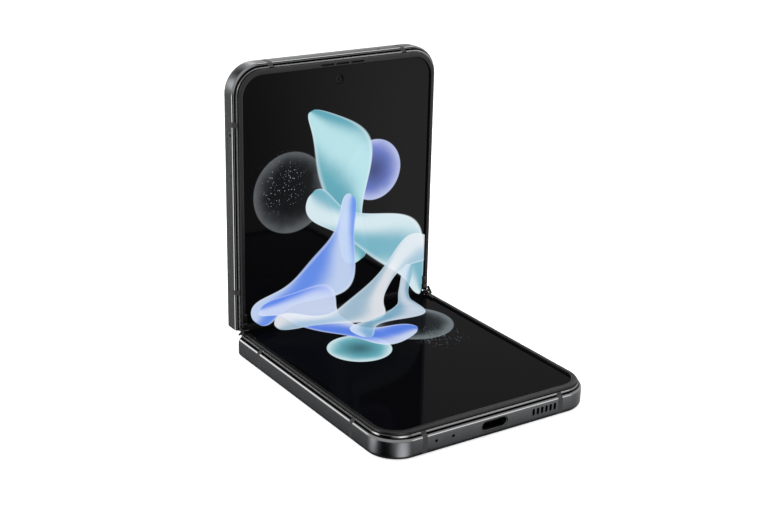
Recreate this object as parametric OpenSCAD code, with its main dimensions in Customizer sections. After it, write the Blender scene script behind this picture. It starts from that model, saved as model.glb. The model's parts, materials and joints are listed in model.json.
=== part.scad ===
// Foldable clamshell phone, half open, standing on the back of its lower half.
// Each half is drawn flat in its own frame: x across, y = v away from the fold,
// z = w from its back (0) to its display (body_t). The spine is drawn in x, p, q:
// p across the fold, q up from the plane of the two fold axes.

/* [Body] */
// Width of the phone
body_w = 71.9; // [70:0.1:76]
// Length of one half, from the fold line to its far edge
half_len = 82.6; // [81:0.1:88]
// Thickness of one half at its rim
body_t = 6.9; // [6.8:0.1:7.6]
// Radius of the outer corners
corner_r = 9.2; // [8.6:0.1:10.4]
// Angle between the two displays at rest
open_angle = 90; // [70:5:140]
// Wall of the metal frame
wall = 2.2; // [2.1:0.1:2.6]
// Width of the rim that shows round the display and the back glass
rim_w = 1.4; // [1.2:0.1:1.5]
// Rounding of the back edge
back_round = 1.2; // [0.8:0.1:1.3]
// Rounding of the display edge
front_round = 0.9; // [0.5:0.1:1]
// Gap between the back edges when the phone lies flat
edge_gap = 0.4; // [0.3:0.1:0.8]

/* [Layers] */
// Thickness of the back glass
glass_t = 0.65; // [0.5:0.05:0.7]
// Thickness of the folding display panel
panel_t = 0.6; // [0.5:0.05:0.65]
// Thickness of the plate under the display
plate_t = 0.6; // [0.5:0.05:0.7]
// Height of the raised bezel above the display
bezel_h = 0.75; // [0.5:0.05:0.8]
// Gap between the frame rim and the bezel
bezel_gap = 0.05; // [0.03:0.01:0.1]
// Width of the bezel along the sides
bezel_side = 1.25; // [1:0.05:1.6]
// Width of the bezel along the far edge
bezel_far = 1.7; // [1.5:0.05:2.2]
// Width of each antenna break
break_w = 1.6; // [1:0.1:2]
// Distance of the far edge's antenna breaks from the corner's start
break_set = 3.45; // [2.3:0.05:4]
// Distance of the near antenna breaks from the fold
break_near = 12.7; // [10:0.1:16]
// Distance of the far antenna breaks from the far edge
break_far_set = 17.4; // [15.6:0.1:17.6]

/* [Hinge] */
// Distance between the two fold axes, the gap between the closed displays
axis_gap = 3.3; // [3.2:0.05:3.5]
// Width of the hinge cover
spine_w = 14.6; // [14:0.1:14.8]
// Depth of the hinge cover below the fold axes
spine_depth = 3.95; // [3.85:0.05:4.1]
// Drop from the fold axes to the cover's open side
cover_drop = 2; // [1.95:0.05:2.1]
// Wall of the hinge cover
cover_t = 0.6; // [0.5:0.05:0.65]
// Gap between the spine and the side walls
spine_gap = 0.3; // [0.2:0.05:0.5]
// Thickness of the hinge arms
arm_t = 0.6; // [0.5:0.05:0.65]
// Width of one hinge arm
arm_w = 4.2; // [3:0.1:4.4]
// Inner radius of the arc rail on each arm
rail_r = 2.3; // [2.25:0.05:2.35]
// Distance of each hinge module's middle from the end of the spine
module_set = 13.45; // [12.5:0.05:14.4]
// Distance from a module's middle to the middle of its arms
arm_offset = 6.7; // [6.6:0.1:7]
// Running clearance of rails, shafts and gears
run_gap = 0.04; // [0.02:0.01:0.06]
// Pitch radius of the timing gears
gear_r = 0.75; // [0.72:0.01:0.76]
// Width of a timing gear
gear_w = 2.4; // [1.6:0.1:2.6]
// Radius of the gear shafts
shaft_r = 0.3; // [0.25:0.01:0.32]

/* [Keys and tray] */
// Length of the volume key
volume_len = 17; // [14:0.1:17.5]
// Gap between the volume key and the far antenna break
volume_gap = 1.5; // [1:0.1:3]
// Length of the side key
side_len = 13; // [9:0.1:13.5]
// Gap between the two keys
keys_gap = 4.8; // [3:0.1:7]
// Height of both keys
key_h = 2.4; // [2:0.1:2.8]
// Gap round a key in its slot
key_gap = 0.08; // [0.05:0.01:0.15]
// How far the volume key stands out
volume_proud = 0.35; // [0.2:0.05:0.5]
// How far the side key stands out
side_proud = 0.12; // [0.05:0.01:0.3]
// Length of the card tray's front
tray_len = 14; // [13:0.1:15]
// Gap between the tray's front and the far antenna break
tray_gap = 1.2; // [0.8:0.1:2]
// Height of the tray's front
tray_h = 2.4; // [2.2:0.1:2.6]
// Depth of the card tray
tray_depth = 17; // [15:0.5:19]

/* [Openings and cameras] */
// Height of the openings in the lower edge above the back
port_w = 3.4; // [3.3:0.05:3.6]
// Width of the charging port
usb_w = 8.94; // [8.6:0.02:9.2]
// Height of the charging port's shell
usb_h = 3.16; // [3:0.02:3.3]
// Number of speaker slots
slot_count = 6; // [4:1:6]
// Distance between speaker slots
slot_pitch = 1.53; // [1.3:0.01:1.6]
// Distance of the speaker slots' middle from the antenna break
slot_set = 5.8; // [5.3:0.1:6.8]
// Width of a speaker slot
slot_w = 0.8; // [0.6:0.05:0.9]
// Height of a speaker slot
slot_h = 2.1; // [1.8:0.1:3]
// Distance of the outer lower microphone hole from the antenna break
mic_set = 3.7; // [2.3:0.1:4.7]
// Distance between the two lower microphone holes
mic_pitch = 5.6; // [4.8:0.1:7.6]
// Radius of the microphone holes
mic_r = 0.45; // [0.3:0.05:0.5]
// Distance of the top microphone hole from the side
top_mic_side = 20.65; // [19.4:0.05:20.95]
// Distance of the front camera from the far edge
selfie_set = 7.2; // [6.8:0.1:8]
// Radius of the front camera's window in the display
selfie_r = 1.5; // [1:0.1:1.6]
// Length of one earpiece slot
earpiece_len = 4.1; // [3:0.1:4.6]
// Width of the earpiece slots
earpiece_w = 0.5; // [0.3:0.05:0.6]
// Distance between earpiece slots
earpiece_pitch = 5.3; // [5:0.1:5.8]
// Radius of a rear camera ring
ring_r = 5.4; // [5:0.1:5.8]
// How far the rear cameras stand out
ring_proud = 1; // [0.6:0.1:1.4]
// Distance of the rear cameras from the side
camera_side = 10.95; // [10.4:0.05:11.5]
// Distance of the outer rear camera from the far edge
camera_set = 9.6; // [9:0.1:10.2]
// Distance between the rear cameras
camera_pitch = 14.2; // [12.5:0.1:15]
// Length of the black cover window
window_len = 34; // [31:0.5:36]
// Distance of the cover display from the side
cover_side = 7.75; // [7:0.05:12]
// Height of the cover display
cover_h = 21.6; // [19:0.1:23]

/* [Inside] */
// Height of the shield cans on the main board
can_h = 1.8; // [1.2:0.1:2]
// Length of the room for the lower board
lower_board_len = 17.2; // [16:0.1:20]
// Length of the upper battery
upper_cell = 18.5; // [15:0.5:19]
// Gap between a battery and the side walls
cell_side = 4.25; // [4:0.05:8]
// Distance of the charging coil from the ends of the battery
coil_set = 2; // [1:0.1:4]
// Inner radius of the charging coil
coil_hole = 10; // [8:0.5:14]
// Length of the vibration motor
motor_len = 9.2; // [6:0.1:10]
// Thickness of a circuit board
board_t = 0.7; // [0.6:0.05:0.8]
// Radius of a screw's shank
screw_r = 0.6; // [0.45:0.05:0.7]
// Radius of a screw's head
head_r = 1.1; // [0.9:0.05:1.2]

/* [Hidden] */
$fn = 64;

// small clearances and joins
touch = 0.05;
small = 0.1;
side_gap = 0.3;
big = 40;
through = 3;
// levels through a half, from its back to its display
panel_w = body_t - panel_t;
plate_w = panel_w - plate_t;
arm_level = plate_w - arm_t;
wing_t = 0.35;
// places along a half
v_start = edge_gap / 2;
axis_a = axis_gap / 2;
spine_reach = norm([spine_w / 2 - axis_a, cover_drop]);
cavity_gap = 0.36;
cavity_v = axis_a + spine_reach + cavity_gap;
cavity_wall = 0.8;
plate_v = cavity_v + 0.15;
lip = 1.6;
lip_end = v_start + lip;
panel_v = axis_a + 1.1;
screw_pitch = 3.2;
screw_set = 1.8;
arm_end = cavity_v + cavity_wall + side_gap + head_r + screw_pitch + screw_set;
inner_x = body_w / 2 - wall;
far_inner = half_len - wall;
break_x = body_w / 2 - corner_r - break_set;
break_far = half_len - break_far_set;
break_end = break_far - break_w / 2;
top_mic_x = body_w / 2 - top_mic_side;
slot_x = break_x - slot_set;
mic_xs = [mic_set - break_x, mic_set + mic_pitch - break_x];
bezel_in = rim_w + bezel_gap;
bezel_end_v = 5.75;
bezel_end_gap = 0.05;
cap_half = 0.4;
cap_wide = 1.1;
cap_head = 0.5;
cap_side = 0.2;
bezel_end_v0 = cap_half + 0.45;
window_v = half_len - window_len;
cell_gap = 0.4;
cell_v = arm_end + cell_gap;
cell_t = plate_w - glass_t - touch - small;
cell_w = 2 * (inner_x - cell_side);
cell_edge = 1.6;
// the fold at rest
fold = (180 - open_angle) / 2;
mid_v = (v_start + half_len) / 2;
bend_k = fold * PI / 180 / sin(fold);
bend_t = axis_a * (bend_k - 1) / (1 - bend_k * cos(fold));
bend_r = (axis_a + bend_t * cos(fold)) / sin(fold);
bend_q = bend_t * sin(fold) + bend_r * cos(fold);
bend_steps = 12;
flex_depth = panel_t + plate_t + 0.03;
flex_t = 0.12;
flex_v = arm_end - cell_gap;
// the spine
spine_x = inner_x - spine_gap;
module_x = spine_x - module_set;
cover_end = 0.8;
arch_sag = spine_depth - cover_drop;
arch_r = (pow(spine_w / 2, 2) + pow(arch_sag, 2)) / (2 * arch_sag);
arch_q = arch_r - spine_depth;
arch_in = arch_r - cover_t;
housing_top = -1.4;
housing_p = 3.4;
housing_x = 11;
housing_wide = spine_w / 2 - 1.5;
flex_near = 2;
flex_gap = 1;
flex_x = [flex_near, module_x - housing_x - flex_gap];
rail_t = 0.6;
rail_end = 208;
rail_root = 330;
arm_dv = 2.2;
gear_q = -2.25;
gear_tip = gear_r + 0.13;
gear_root = gear_r - 0.17;
gear_ps = [-3 * gear_r, -gear_r, gear_r, 3 * gear_r];
gear_teeth = 8;
gear_step = 360 / gear_teeth;
shaft_main = 7.6;
shaft_idler = 6;
clip_off = 2.75;
clip_w = 1.5;
clip_r = 0.72;
hinge_screw_r = 0.4;
hinge_head_r = 0.75;
hinge_screw_x = 9.9;
hinge_head_t = 0.35;
hinge_grip = 0.4;
// earpiece slots in the far bezel
earpiece_mid = 0.55;
earpiece_v = half_len - bezel_in - 0.6;
mesh_t = 0.25;
mesh_gap = 0.02;
mesh_rim = 0.8;
slot_span = (slot_count - 1) * slot_pitch;
// keys: a flange behind the wall, then the switches it presses
volume_v = break_end - volume_gap - volume_len / 2;
side_v = volume_v - volume_len / 2 - keys_gap - side_len / 2;
key_w = body_t / 2;
flange_t = 0.55;
flange_rim = 0.5;
switch_gap = 0.4;
switch_x = inner_x - small - flange_t - switch_gap;
switch_r = 1;
switch_size = [1, 3.4, 2.6];
strip_t = 0.2;
strip_w = 3.2;
// card tray and its socket
tray_v = break_end - tray_gap - tray_len / 2;
tray_w = port_w + 0.6;
tray_t = 0.8;
tray_front = 1.6;
tray_inset = 1;
tray_arm = tray_len - 2 * tray_inset;
card_w = 9;
card_near = 1.3;
socket_t = 0.4;
socket_gap = 0.1;
socket_back = 0.6;
socket_x0 = side_gap - inner_x;
socket_x1 = tray_depth - body_w / 2 + socket_back;
eject_v = tray_v + tray_len / 2 - 1.4;
eject_w = tray_w + 0.35;
eject_floor = 0.3;
// boards and what stands on them
board_w = tray_w - tray_t / 2 - socket_gap - socket_t - board_t;
board_top = board_w + board_t;
board_in = 3.4;
board_v = cell_v + upper_cell + 1.2;
can_t = 0.25;
can_v = board_v + 0.8;
can_split = 12.2;
can_gap = 0.6;
can_x0 = socket_x1 + can_gap;
module_t = 0.4;
// the earpiece's box, and the microphones: width, length and height over the opening's middle
ear_box_set = 3.5;
ear_box_h = 2.2;
ear_box_gap = 1.2;
top_mic = [2.8, 3.2, 1.5];
low_mic = [3.2, 2.8, 0.8];
// cameras and flash
camera_box = 9;
camera_box_w = 0.95;
camera_gap = 0.4;
barrel_in = 0.8;
barrel_top = 0.75;
lens_t = 0.5;
lens_drop = 0.15;
ring_seat = 0.5;
selfie_rim = 0.8;
selfie_depth = 2;
camera_x = body_w / 2 - camera_side;
camera_v = half_len - camera_set;
selfie_v = half_len - selfie_set;
camera_list = [camera_v, camera_v - camera_pitch];
can_x1 = camera_x - camera_box / 2 - can_gap;
flash_set = 2.2;
flash = [camera_x - ring_r - flash_set, camera_v - camera_pitch / 2];
flash_r = 1.6;
lens_r = ring_r - 1.15;
cover_flash_gap = 1.6;
cover_x0 = cover_side - body_w / 2;
cover_x1 = flash.x - flash_r - cover_flash_gap;
cover_mid = camera_v - camera_pitch / 2;
cover_t0 = 0.8;
// lower board, port and coil
sub_board_w = port_w - usb_h / 2 - board_t - small;
sub_board_top = sub_board_w + board_t;
sub_board_v = far_inner - lower_board_len;
lower_cell = sub_board_v - 1.6 - cell_v;
coil_r = lower_cell / 2 - coil_set;
motor_w = 10;
side_room = 3.2;
usb_len = 7.05;
usb_wall = 0.3;
usb_set = 0.15;
tongue = [6.7, 4.6, 0.7];
coil_t = 0.4;
// magnets, and the screws that hold the hinge arms
magnet = [2.6, 8, 2.2];
magnet_v = cavity_v + cavity_wall + side_gap;
screw_vs = [arm_end - screw_set - screw_pitch, arm_end - screw_set];
screw_head = 0.4;

graphite = "#4a4c50";
dark = "#1b1c1e";
board_green = "#1d4a38";
steel = "#a9adb2";

// ---- frames of reference ----
module on_lower() {
  translate([0, mid_v, 0]) mirror([0, 1, 0]) children();
}

module on_spine() {
  translate([0, mid_v - axis_a, body_t]) rotate([fold, 0, 0]) translate([0, axis_a, 0])
    children();
}

module on_upper() {
  on_spine() translate([0, axis_a, 0]) rotate([fold, 0, 0])
    translate([0, -axis_a, -body_t]) children();
}

// ---- shared shapes ----
module block(low, high) {
  translate(low) cube(high - low);
}

// a flat shape in (y, z) drawn out along x
module along_x(x0, x1) {
  translate([x0, 0, 0]) rotate([90, 0, 90]) linear_extrude(x1 - x0) children();
}

// a flat shape in (x, z) drawn out along v
module along_v(v0, v1) {
  translate([0, v1, 0]) rotate([90, 0, 0]) linear_extrude(v1 - v0) children();
}

module stadium(length, height) {
  square([length - height, height], center = true);
  for (s = [-1, 1]) translate([s * (length - height) / 2, 0]) circle(d = height);
}

// outline of a half, set in from its outer face, with round far corners
module half_outline(inset, v0, v_inset) {
  half = body_w / 2 - inset;
  far = half_len - v_inset;
  r = corner_r - inset;
  translate([-half, v0]) square([2 * half, far - r - v0]);
  translate([r - half, v0]) square([2 * (half - r), far - v0]);
  for (s = [-1, 1]) translate([s * (half - r), far - r]) circle(r);
}

module half_plate(inset, v0, w0, w1) {
  translate([0, 0, w0]) linear_extrude(w1 - w0) half_outline(inset, v0, inset);
}

// ---- frame ----
// rounded outer skin of the frame: x is depth in from the outer face, y is w
module skin_profile(depth) {
  intersection() {
    square([depth, body_t]);
    union() {
      translate([back_round, back_round]) circle(back_round);
      translate([front_round, body_t - front_round]) circle(front_round);
      translate([0, back_round]) square([depth, body_t - back_round - front_round]);
      translate([back_round, 0]) square([depth, body_t / 2]);
      translate([front_round, body_t / 2]) square([depth, body_t / 2]);
    }
  }
}

module wall_profile() {
  skin_profile(rim_w);
  translate([rim_w, glass_t]) square([wall - rim_w, panel_w - glass_t]);
}

module side_run(s, v0, v1) {
  mirror([s, 0, 0]) translate([-body_w / 2, v1, 0]) rotate([90, 0, 0])
    linear_extrude(v1 - v0) children();
}

module far_run(x0, x1) {
  translate([x0, half_len, 0]) rotate([90, 0, 90]) linear_extrude(x1 - x0)
    mirror([1, 0]) children();
}

module corner_run(s) {
  mirror([s, 0, 0]) translate([corner_r - body_w / 2, half_len - corner_r, 0])
    rotate([0, 0, 90]) rotate_extrude(angle = 90) translate([corner_r, 0])
      mirror([1, 0]) children();
}

module ring() {
  for (s = [0, 1]) {
    side_run(s, v_start, half_len - corner_r) wall_profile();
    corner_run(s) wall_profile();
  }
  far_run(corner_r - body_w / 2, body_w / 2 - corner_r) wall_profile();
}

module break_cuts() {
  for (s = [0, 1], v = [break_near, break_far]) mirror([s, 0, 0])
    block([-body_w / 2 - 1, v - break_w / 2, -1],
          [rim_w - body_w / 2, v + break_w / 2, body_t + 1]);
  for (s = [-1, 1]) translate([s * break_x, half_len, body_t / 2])
    cube([break_w, 2 * rim_w, body_t + 2], center = true);
}

module antenna_breaks() {
  for (s = [0, 1], v = [break_near, break_far])
    side_run(s, v - break_w / 2, v + break_w / 2) skin_profile(rim_w);
  for (s = [-1, 1])
    far_run(s * break_x - break_w / 2, s * break_x + break_w / 2) skin_profile(rim_w);
}

// rounds the back corner at the hinge end of the frame
module hinge_end_round() {
  along_x(-body_w, body_w) difference() {
    translate([v_start - 1, -1]) square(back_round + 1);
    translate([v_start + back_round, back_round]) circle(back_round);
  }
}

module half_frame() {
  difference() {
    union() {
      ring();
      block([-inner_x - 1, v_start, 0], [inner_x + 1, lip_end, glass_t]);
      block([-inner_x - small, cavity_v, glass_t],
            [inner_x + small, cavity_v + cavity_wall, arm_level - small]);
    }
    break_cuts();
    hinge_end_round();
  }
}

module key_hole(v, length) {
  translate([0, v, key_w]) along_x(inner_x - 1, body_w)
    stadium(length + 2 * key_gap, key_h + 2 * key_gap);
}

module upper_frame() {
  color(graphite) on_upper() difference() {
    half_frame();
    key_hole(volume_v, volume_len);
    key_hole(side_v, side_len);
    translate([0, tray_v, tray_w]) along_x(-body_w, 1 - inner_x)
      stadium(tray_len + 2 * key_gap, tray_h + 2 * key_gap);
    translate([top_mic_x, 0, port_w + 1.1]) along_v(far_inner - 1, half_len + 1)
      circle(mic_r);
  }
}

module lower_frame() {
  color(graphite) on_lower() difference() {
    half_frame();
    translate([0, 0, port_w]) along_v(far_inner - 1, half_len + 1)
      stadium(usb_w + 2 * touch, usb_h + 2 * touch);
    for (i = [0 : slot_count - 1])
      translate([slot_x - slot_span / 2 + i * slot_pitch, 0, port_w])
        along_v(far_inner - 1, half_len + 1) rotate(90) stadium(slot_h, slot_w);
    for (x = mic_xs) translate([x, 0, port_w]) along_v(far_inner - 1, half_len + 1)
      circle(mic_r);
  }
}

module upper_antenna_breaks() {
  color(dark) on_upper() antenna_breaks();
}

module lower_antenna_breaks() {
  color(dark) on_lower() antenna_breaks();
}

// ---- plates, display and bezel ----
module mid_plate(side) {
  difference() {
    half_plate(wall, plate_v, plate_w, panel_w);
    arm_screws_at(side) cylinder(r = screw_r + run_gap, h = 2 * plate_t, center = true);
  }
}

// children at the underside of the plate, one for each arm screw; side is 1 on the
// lower half and -1 on the upper half, whose arms sit nearer the middle
module arm_screws_at(side) {
  for (s = [-1, 1], v = screw_vs)
    translate([s * (module_x + side * arm_offset), v, plate_w]) children();
}

module upper_mid_plate() {
  color(steel) on_upper() difference() {
    mid_plate(-1);
    translate([0, selfie_v, plate_w - 1]) cylinder(r = selfie_r + selfie_rim + 2 * small, h = through);
  }
}

module lower_mid_plate() {
  color(steel) on_lower() mid_plate(1);
}

module fold_plate() {
  block([-spine_x, panel_v, panel_w - wing_t], [spine_x, plate_v, panel_w]);
}

module upper_fold_plate() {
  color(steel) on_upper() fold_plate();
}

module lower_fold_plate() {
  color(steel) on_lower() fold_plate();
}

module upper_display() {
  color("black") on_upper() difference() {
    half_plate(bezel_in, panel_v, panel_w, body_t);
    translate([0, selfie_v, panel_w - 1]) cylinder(r = selfie_r, h = through);
  }
}

module lower_display() {
  color("black") on_lower() half_plate(bezel_in, panel_v, panel_w, body_t);
}

module bezel() {
  translate([0, 0, body_t]) linear_extrude(bezel_h) difference() {
    half_outline(bezel_in, bezel_end_v, bezel_in);
    half_outline(bezel_in + bezel_side, bezel_end_v - 1, bezel_in + bezel_far);
  }
}

module earpiece_shapes(grow) {
  for (i = [-1 : 1]) translate([earpiece_mid + i * earpiece_pitch, earpiece_v])
    stadium(earpiece_len + 2 * grow, earpiece_w + 2 * grow);
}

module upper_bezel() {
  color(dark) on_upper() difference() {
    bezel();
    translate([0, 0, body_t - 1]) linear_extrude(bezel_h + 2) earpiece_shapes(0);
  }
}

module lower_bezel() {
  color(dark) on_lower() bezel();
}

module bezel_ends() {
  for (s = [0, 1]) mirror([s, 0, 0]) {
    x0 = body_w / 2 - bezel_in - bezel_side - 0.4;
    x1 = body_w / 2 - bezel_in;
    block([x0, panel_v, body_t], [x1, bezel_end_v - bezel_end_gap, body_t + bezel_h]);
    block([x0, bezel_end_v0, panel_w], [x1, panel_v, body_t + bezel_h]);
  }
}

module upper_bezel_ends() {
  color("black") on_upper() bezel_ends();
}

module lower_bezel_ends() {
  color("black") on_lower() bezel_ends();
}

module earpiece_mesh() {
  color("dimgray") on_upper() translate([0, 0, body_t + small]) linear_extrude(mesh_t)
    earpiece_shapes(-mesh_gap);
}

// ---- upper half, inside and back ----
module earpiece_speaker() {
  color("black") on_upper()
    block([selfie_r + ear_box_set, selfie_v - selfie_r, plate_w - ear_box_h],
          [top_mic_x - side_gap, far_inner - ear_box_gap, plate_w - small]);
}

module front_camera() {
  color(dark) on_upper() translate([0, selfie_v, 0]) {
    translate([0, 0, plate_w - selfie_depth])
      cylinder(r = selfie_r + selfie_rim, h = selfie_depth + plate_t / 2);
    translate([0, 0, plate_w]) cylinder(r = selfie_r - touch, h = body_t - plate_w);
  }
}

module upper_back_glass() {
  color(graphite) on_upper()
    block([bezel_in - body_w / 2, lip_end + touch, 0],
          [body_w / 2 - bezel_in, window_v - touch, glass_t]);
}

module cover_window() {
  color("black") on_upper() difference() {
    half_plate(bezel_in, window_v, 0, glass_t);
    for (v = camera_list) translate([camera_x, v, -1]) cylinder(r = ring_r - ring_seat, h = through);
    translate([flash.x, flash.y, -1]) cylinder(r = flash_r + touch, h = through);
  }
}

module cover_display() {
  color("black") on_upper()
    block([cover_x0, cover_mid - cover_h / 2, glass_t],
          [cover_x1, cover_mid + cover_h / 2, glass_t + cover_t0]);
}

module camera_rings() {
  color(steel) on_upper() for (v = camera_list) translate([camera_x, v, 0])
    rotate_extrude() {
      translate([lens_r + touch, -ring_proud])
        square([ring_r - lens_r - touch, ring_proud]);
      translate([lens_r + touch, -small])
        square([ring_r - ring_seat - touch - lens_r - touch, glass_t + small]);
    }
}

module camera_lenses() {
  color("black") on_upper() for (v = camera_list) translate([camera_x, v, 0])
    translate([0, 0, lens_drop - ring_proud]) cylinder(r = lens_r, h = lens_t);
}

module rear_cameras() {
  color(dark) on_upper() for (v = camera_list) translate([camera_x, v, 0]) {
    translate([0, 0, barrel_top - ring_proud])
      cylinder(r = lens_r - barrel_in, h = ring_proud + camera_box_w + small - barrel_top);
    translate([0, 0, (camera_box_w + plate_w - small) / 2])
      cube([camera_box, camera_box, plate_w - small - camera_box_w], center = true);
  }
}

module rear_flash() {
  color("lightyellow") on_upper() translate([flash.x, flash.y, 0.02])
    cylinder(r = flash_r, h = glass_t + 0.5);
}

// the main board, cut out round the cameras, the key switches and the front camera
module main_board() {
  clear = camera_box / 2 + camera_gap;
  notch = selfie_r + selfie_rim + 1.2;
  color(board_green) on_upper() difference() {
    half_plate(board_in, board_v, board_w, board_top);
    block([camera_x - clear, min(camera_list) - clear, 0], [body_w, half_len, body_t]);
    block([switch_x - 2.4, 0, 0], [body_w, volume_v + volume_len / 2 + 1, body_t]);
    block([-notch, selfie_v - notch, 0], [notch, half_len, body_t]);
  }
}

module shield_can(low, high) {
  difference() {
    block(low, high);
    block(low + [can_t, can_t, -1], high - can_t * [1, 1, 1]);
  }
}

module shield_cans() {
  color(steel) on_upper() {
    shield_can([can_x0, can_v + can_split + can_t, board_top],
               [can_x1, selfie_v - camera_box / 2 - can_gap, board_top + can_h]);
    shield_can([can_x0, can_v, board_top],
               [can_x1, can_v + can_split - can_t, board_top + can_h]);
  }
}

// a battery cell with round long edges
module cell(length) {
  along_v(cell_v, cell_v + length) translate([0, glass_t + touch + cell_t / 2]) union() {
    square([cell_w, cell_t - 2 * cell_edge], center = true);
    square([cell_w - 2 * cell_edge, cell_t], center = true);
    for (a = [-1, 1], b = [-1, 1])
      translate([a * (cell_w / 2 - cell_edge), b * (cell_t / 2 - cell_edge)]) circle(cell_edge);
  }
}

module upper_battery() {
  color("black") on_upper() cell(upper_cell);
}

module magnets() {
  for (s = [0, 1]) mirror([s, 0, 0])
    translate([inner_x - side_gap - magnet.x, magnet_v, plate_w - small - magnet.z])
      cube(magnet);
}

module upper_magnets() {
  color(steel) on_upper() magnets();
}

module lower_magnets() {
  color(steel) on_lower() magnets();
}

module arm_screw() {
  translate([0, 0, -arm_t - screw_head]) cylinder(r = head_r, h = screw_head);
  translate([0, 0, -arm_t - screw_head / 2]) cylinder(r = screw_r, h = arm_t + plate_t);
}

module upper_screws() {
  color("silver") on_upper() arm_screws_at(-1) arm_screw();
}

module lower_screws() {
  color("silver") on_lower() arm_screws_at(1) arm_screw();
}

module upper_microphone() {
  color("gold") on_upper()
    block([top_mic_x, far_inner - top_mic.y, board_top],
          [top_mic_x + top_mic.x, far_inner - small, port_w + top_mic.z]);
}

// ---- keys and card tray ----
// a key: its head in the slot, and a wider flange behind the wall
module side_button(v, length, proud) {
  translate([0, v, key_w]) {
    along_x(inner_x - small, body_w / 2 + proud) stadium(length, key_h);
    along_x(inner_x - small - flange_t, inner_x - small)
      stadium(length + 2 * flange_rim, key_h + 2 * flange_rim);
  }
}

module volume_key() {
  color(graphite) on_upper() side_button(volume_v, volume_len, volume_proud);
}

module side_key() {
  color(graphite) on_upper() side_button(side_v, side_len, side_proud);
}

module key_switches() {
  color("gold") on_upper() {
    for (v = [volume_v - volume_len / 4, volume_v + volume_len / 4, side_v])
      translate([switch_x - switch_r, v, key_w]) {
        rotate([0, 90, 0]) cylinder(r = switch_r, h = switch_r);
        translate([-side_gap, 0, 0]) cube(switch_size, center = true);
      }
    block([switch_x - 2 * switch_r, side_v - side_len / 2, key_w - strip_w / 2],
          [switch_x - 2 * switch_r + strip_t, volume_v + volume_len / 2, key_w + strip_w / 2]);
  }
}

module card_tray() {
  face = -body_w / 2;
  color(graphite) on_upper() difference() {
    union() {
      translate([0, tray_v, tray_w]) along_x(face, face + tray_front)
        stadium(tray_len, tray_h);
      block([face + tray_front - small, tray_v - tray_arm / 2, tray_w - tray_t / 2],
            [face + tray_depth, tray_v + tray_arm / 2, tray_w + tray_t / 2]);
    }
    block([face + tray_front + card_near, tray_v - card_w / 2, tray_w - tray_t],
          [face + tray_depth - card_near, tray_v + card_w / 2, tray_w + tray_t]);
    translate([face - 1, eject_v, eject_w]) rotate([0, 90, 0])
      cylinder(r = mic_r, h = tray_front - eject_floor + 1);
  }
}

module card_socket() {
  arm = tray_arm / 2 + socket_gap;
  gap = tray_t / 2 + socket_gap;
  color(steel) on_upper() difference() {
    block([socket_x0, tray_v - arm - socket_t, tray_w - gap - socket_t],
          [socket_x1, tray_v + arm + socket_t, tray_w + gap + socket_t]);
    block([socket_x0 - 1, tray_v - arm, tray_w - gap],
          [socket_x1 - socket_t, tray_v + arm, tray_w + gap]);
  }
}

// ---- lower half, inside and back ----
module lower_back_glass() {
  color(graphite) on_lower() half_plate(bezel_in, lip_end + touch, 0, glass_t);
}

module lower_battery() {
  color("black") on_lower() difference() {
    cell(lower_cell);
    translate([0, cell_v + lower_cell / 2, 0])
      cylinder(r = coil_r + side_gap, h = glass_t + touch + coil_t + touch);
  }
}

module charging_coil() {
  color("peru") on_lower() translate([0, cell_v + lower_cell / 2, glass_t + touch])
    difference() {
      cylinder(r = coil_r, h = coil_t);
      translate([0, 0, -1]) cylinder(r = coil_hole, h = through);
    }
}

module lower_board() {
  color(board_green) on_lower()
    half_plate(board_in, sub_board_v, sub_board_w, sub_board_top);
}

module usb_shell() {
  color("silver") on_lower() translate([0, 0, port_w]) difference() {
    along_v(half_len - usb_set - usb_len, half_len - usb_set) stadium(usb_w, usb_h);
    along_v(half_len - usb_set - usb_len + usb_wall, half_len + 1)
      stadium(usb_w - 2 * usb_wall, usb_h - 2 * usb_wall);
  }
}

module usb_tongue() {
  mid = half_len - usb_set - usb_len + usb_wall + tongue.y / 2;
  color("black") on_lower() translate([0, mid, port_w]) cube(tongue, center = true);
}

// the loudspeaker, rounded where it follows the frame's corner
module loudspeaker() {
  color("black") on_lower() intersection() {
    block([slot_x - slot_span / 2 - mesh_rim - 1, sub_board_v + module_t, sub_board_top],
          [inner_x - side_room, far_inner - 2 * mesh_t, plate_w - small]);
    half_plate(wall + side_gap, 0, 0, body_t);
  }
}

module speaker_mesh() {
  color("dimgray") on_lower() translate([slot_x, far_inner - mesh_t / 2, port_w])
    cube([slot_span + slot_w + 2 * mesh_rim, mesh_t, slot_h + mesh_rim], center = true);
}

module lower_microphones() {
  color("gold") on_lower() for (x = mic_xs)
    block([x - low_mic.x / 2, far_inner - low_mic.y, sub_board_top],
          [x + low_mic.x / 2, far_inner - small, port_w + low_mic.z]);
}

module vibration_motor() {
  color("silver") on_lower()
    translate([side_room - inner_x, sub_board_v + module_t, sub_board_top])
      cube([motor_len, motor_w, plate_w - module_t - sub_board_top]);
}

// ---- hinge arms ----
module sector(a0, a1) {
  steps = 4;
  polygon([[0, 0], for (i = [0 : steps]) let (a = a0 + i * (a1 - a0) / steps)
    big * [cos(a), sin(a)]]);
}

// an arm: an arc rail about the half's fold axis, and a plate under its mid plate
module arm_profile() {
  translate([axis_a, body_t]) {
    intersection() {
      difference() {
        circle(rail_r + rail_t);
        circle(rail_r);
      }
      sector(rail_end, rail_root);
    }
    translate([arm_dv, arm_level - body_t]) square([arm_end - axis_a - arm_dv, arm_t]);
  }
}

module hinge_arms(side) {
  difference() {
    for (s = [-1, 1]) {
      x = s * (module_x + side * arm_offset);
      along_x(x - arm_w / 2, x + arm_w / 2) arm_profile();
    }
    arm_screws_at(side) translate([0, 0, -2 * arm_t])
      cylinder(r = screw_r + run_gap, h = 3 * arm_t);
  }
}

module upper_hinge_arms() {
  color("darkgray") on_upper() hinge_arms(-1);
}

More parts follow.
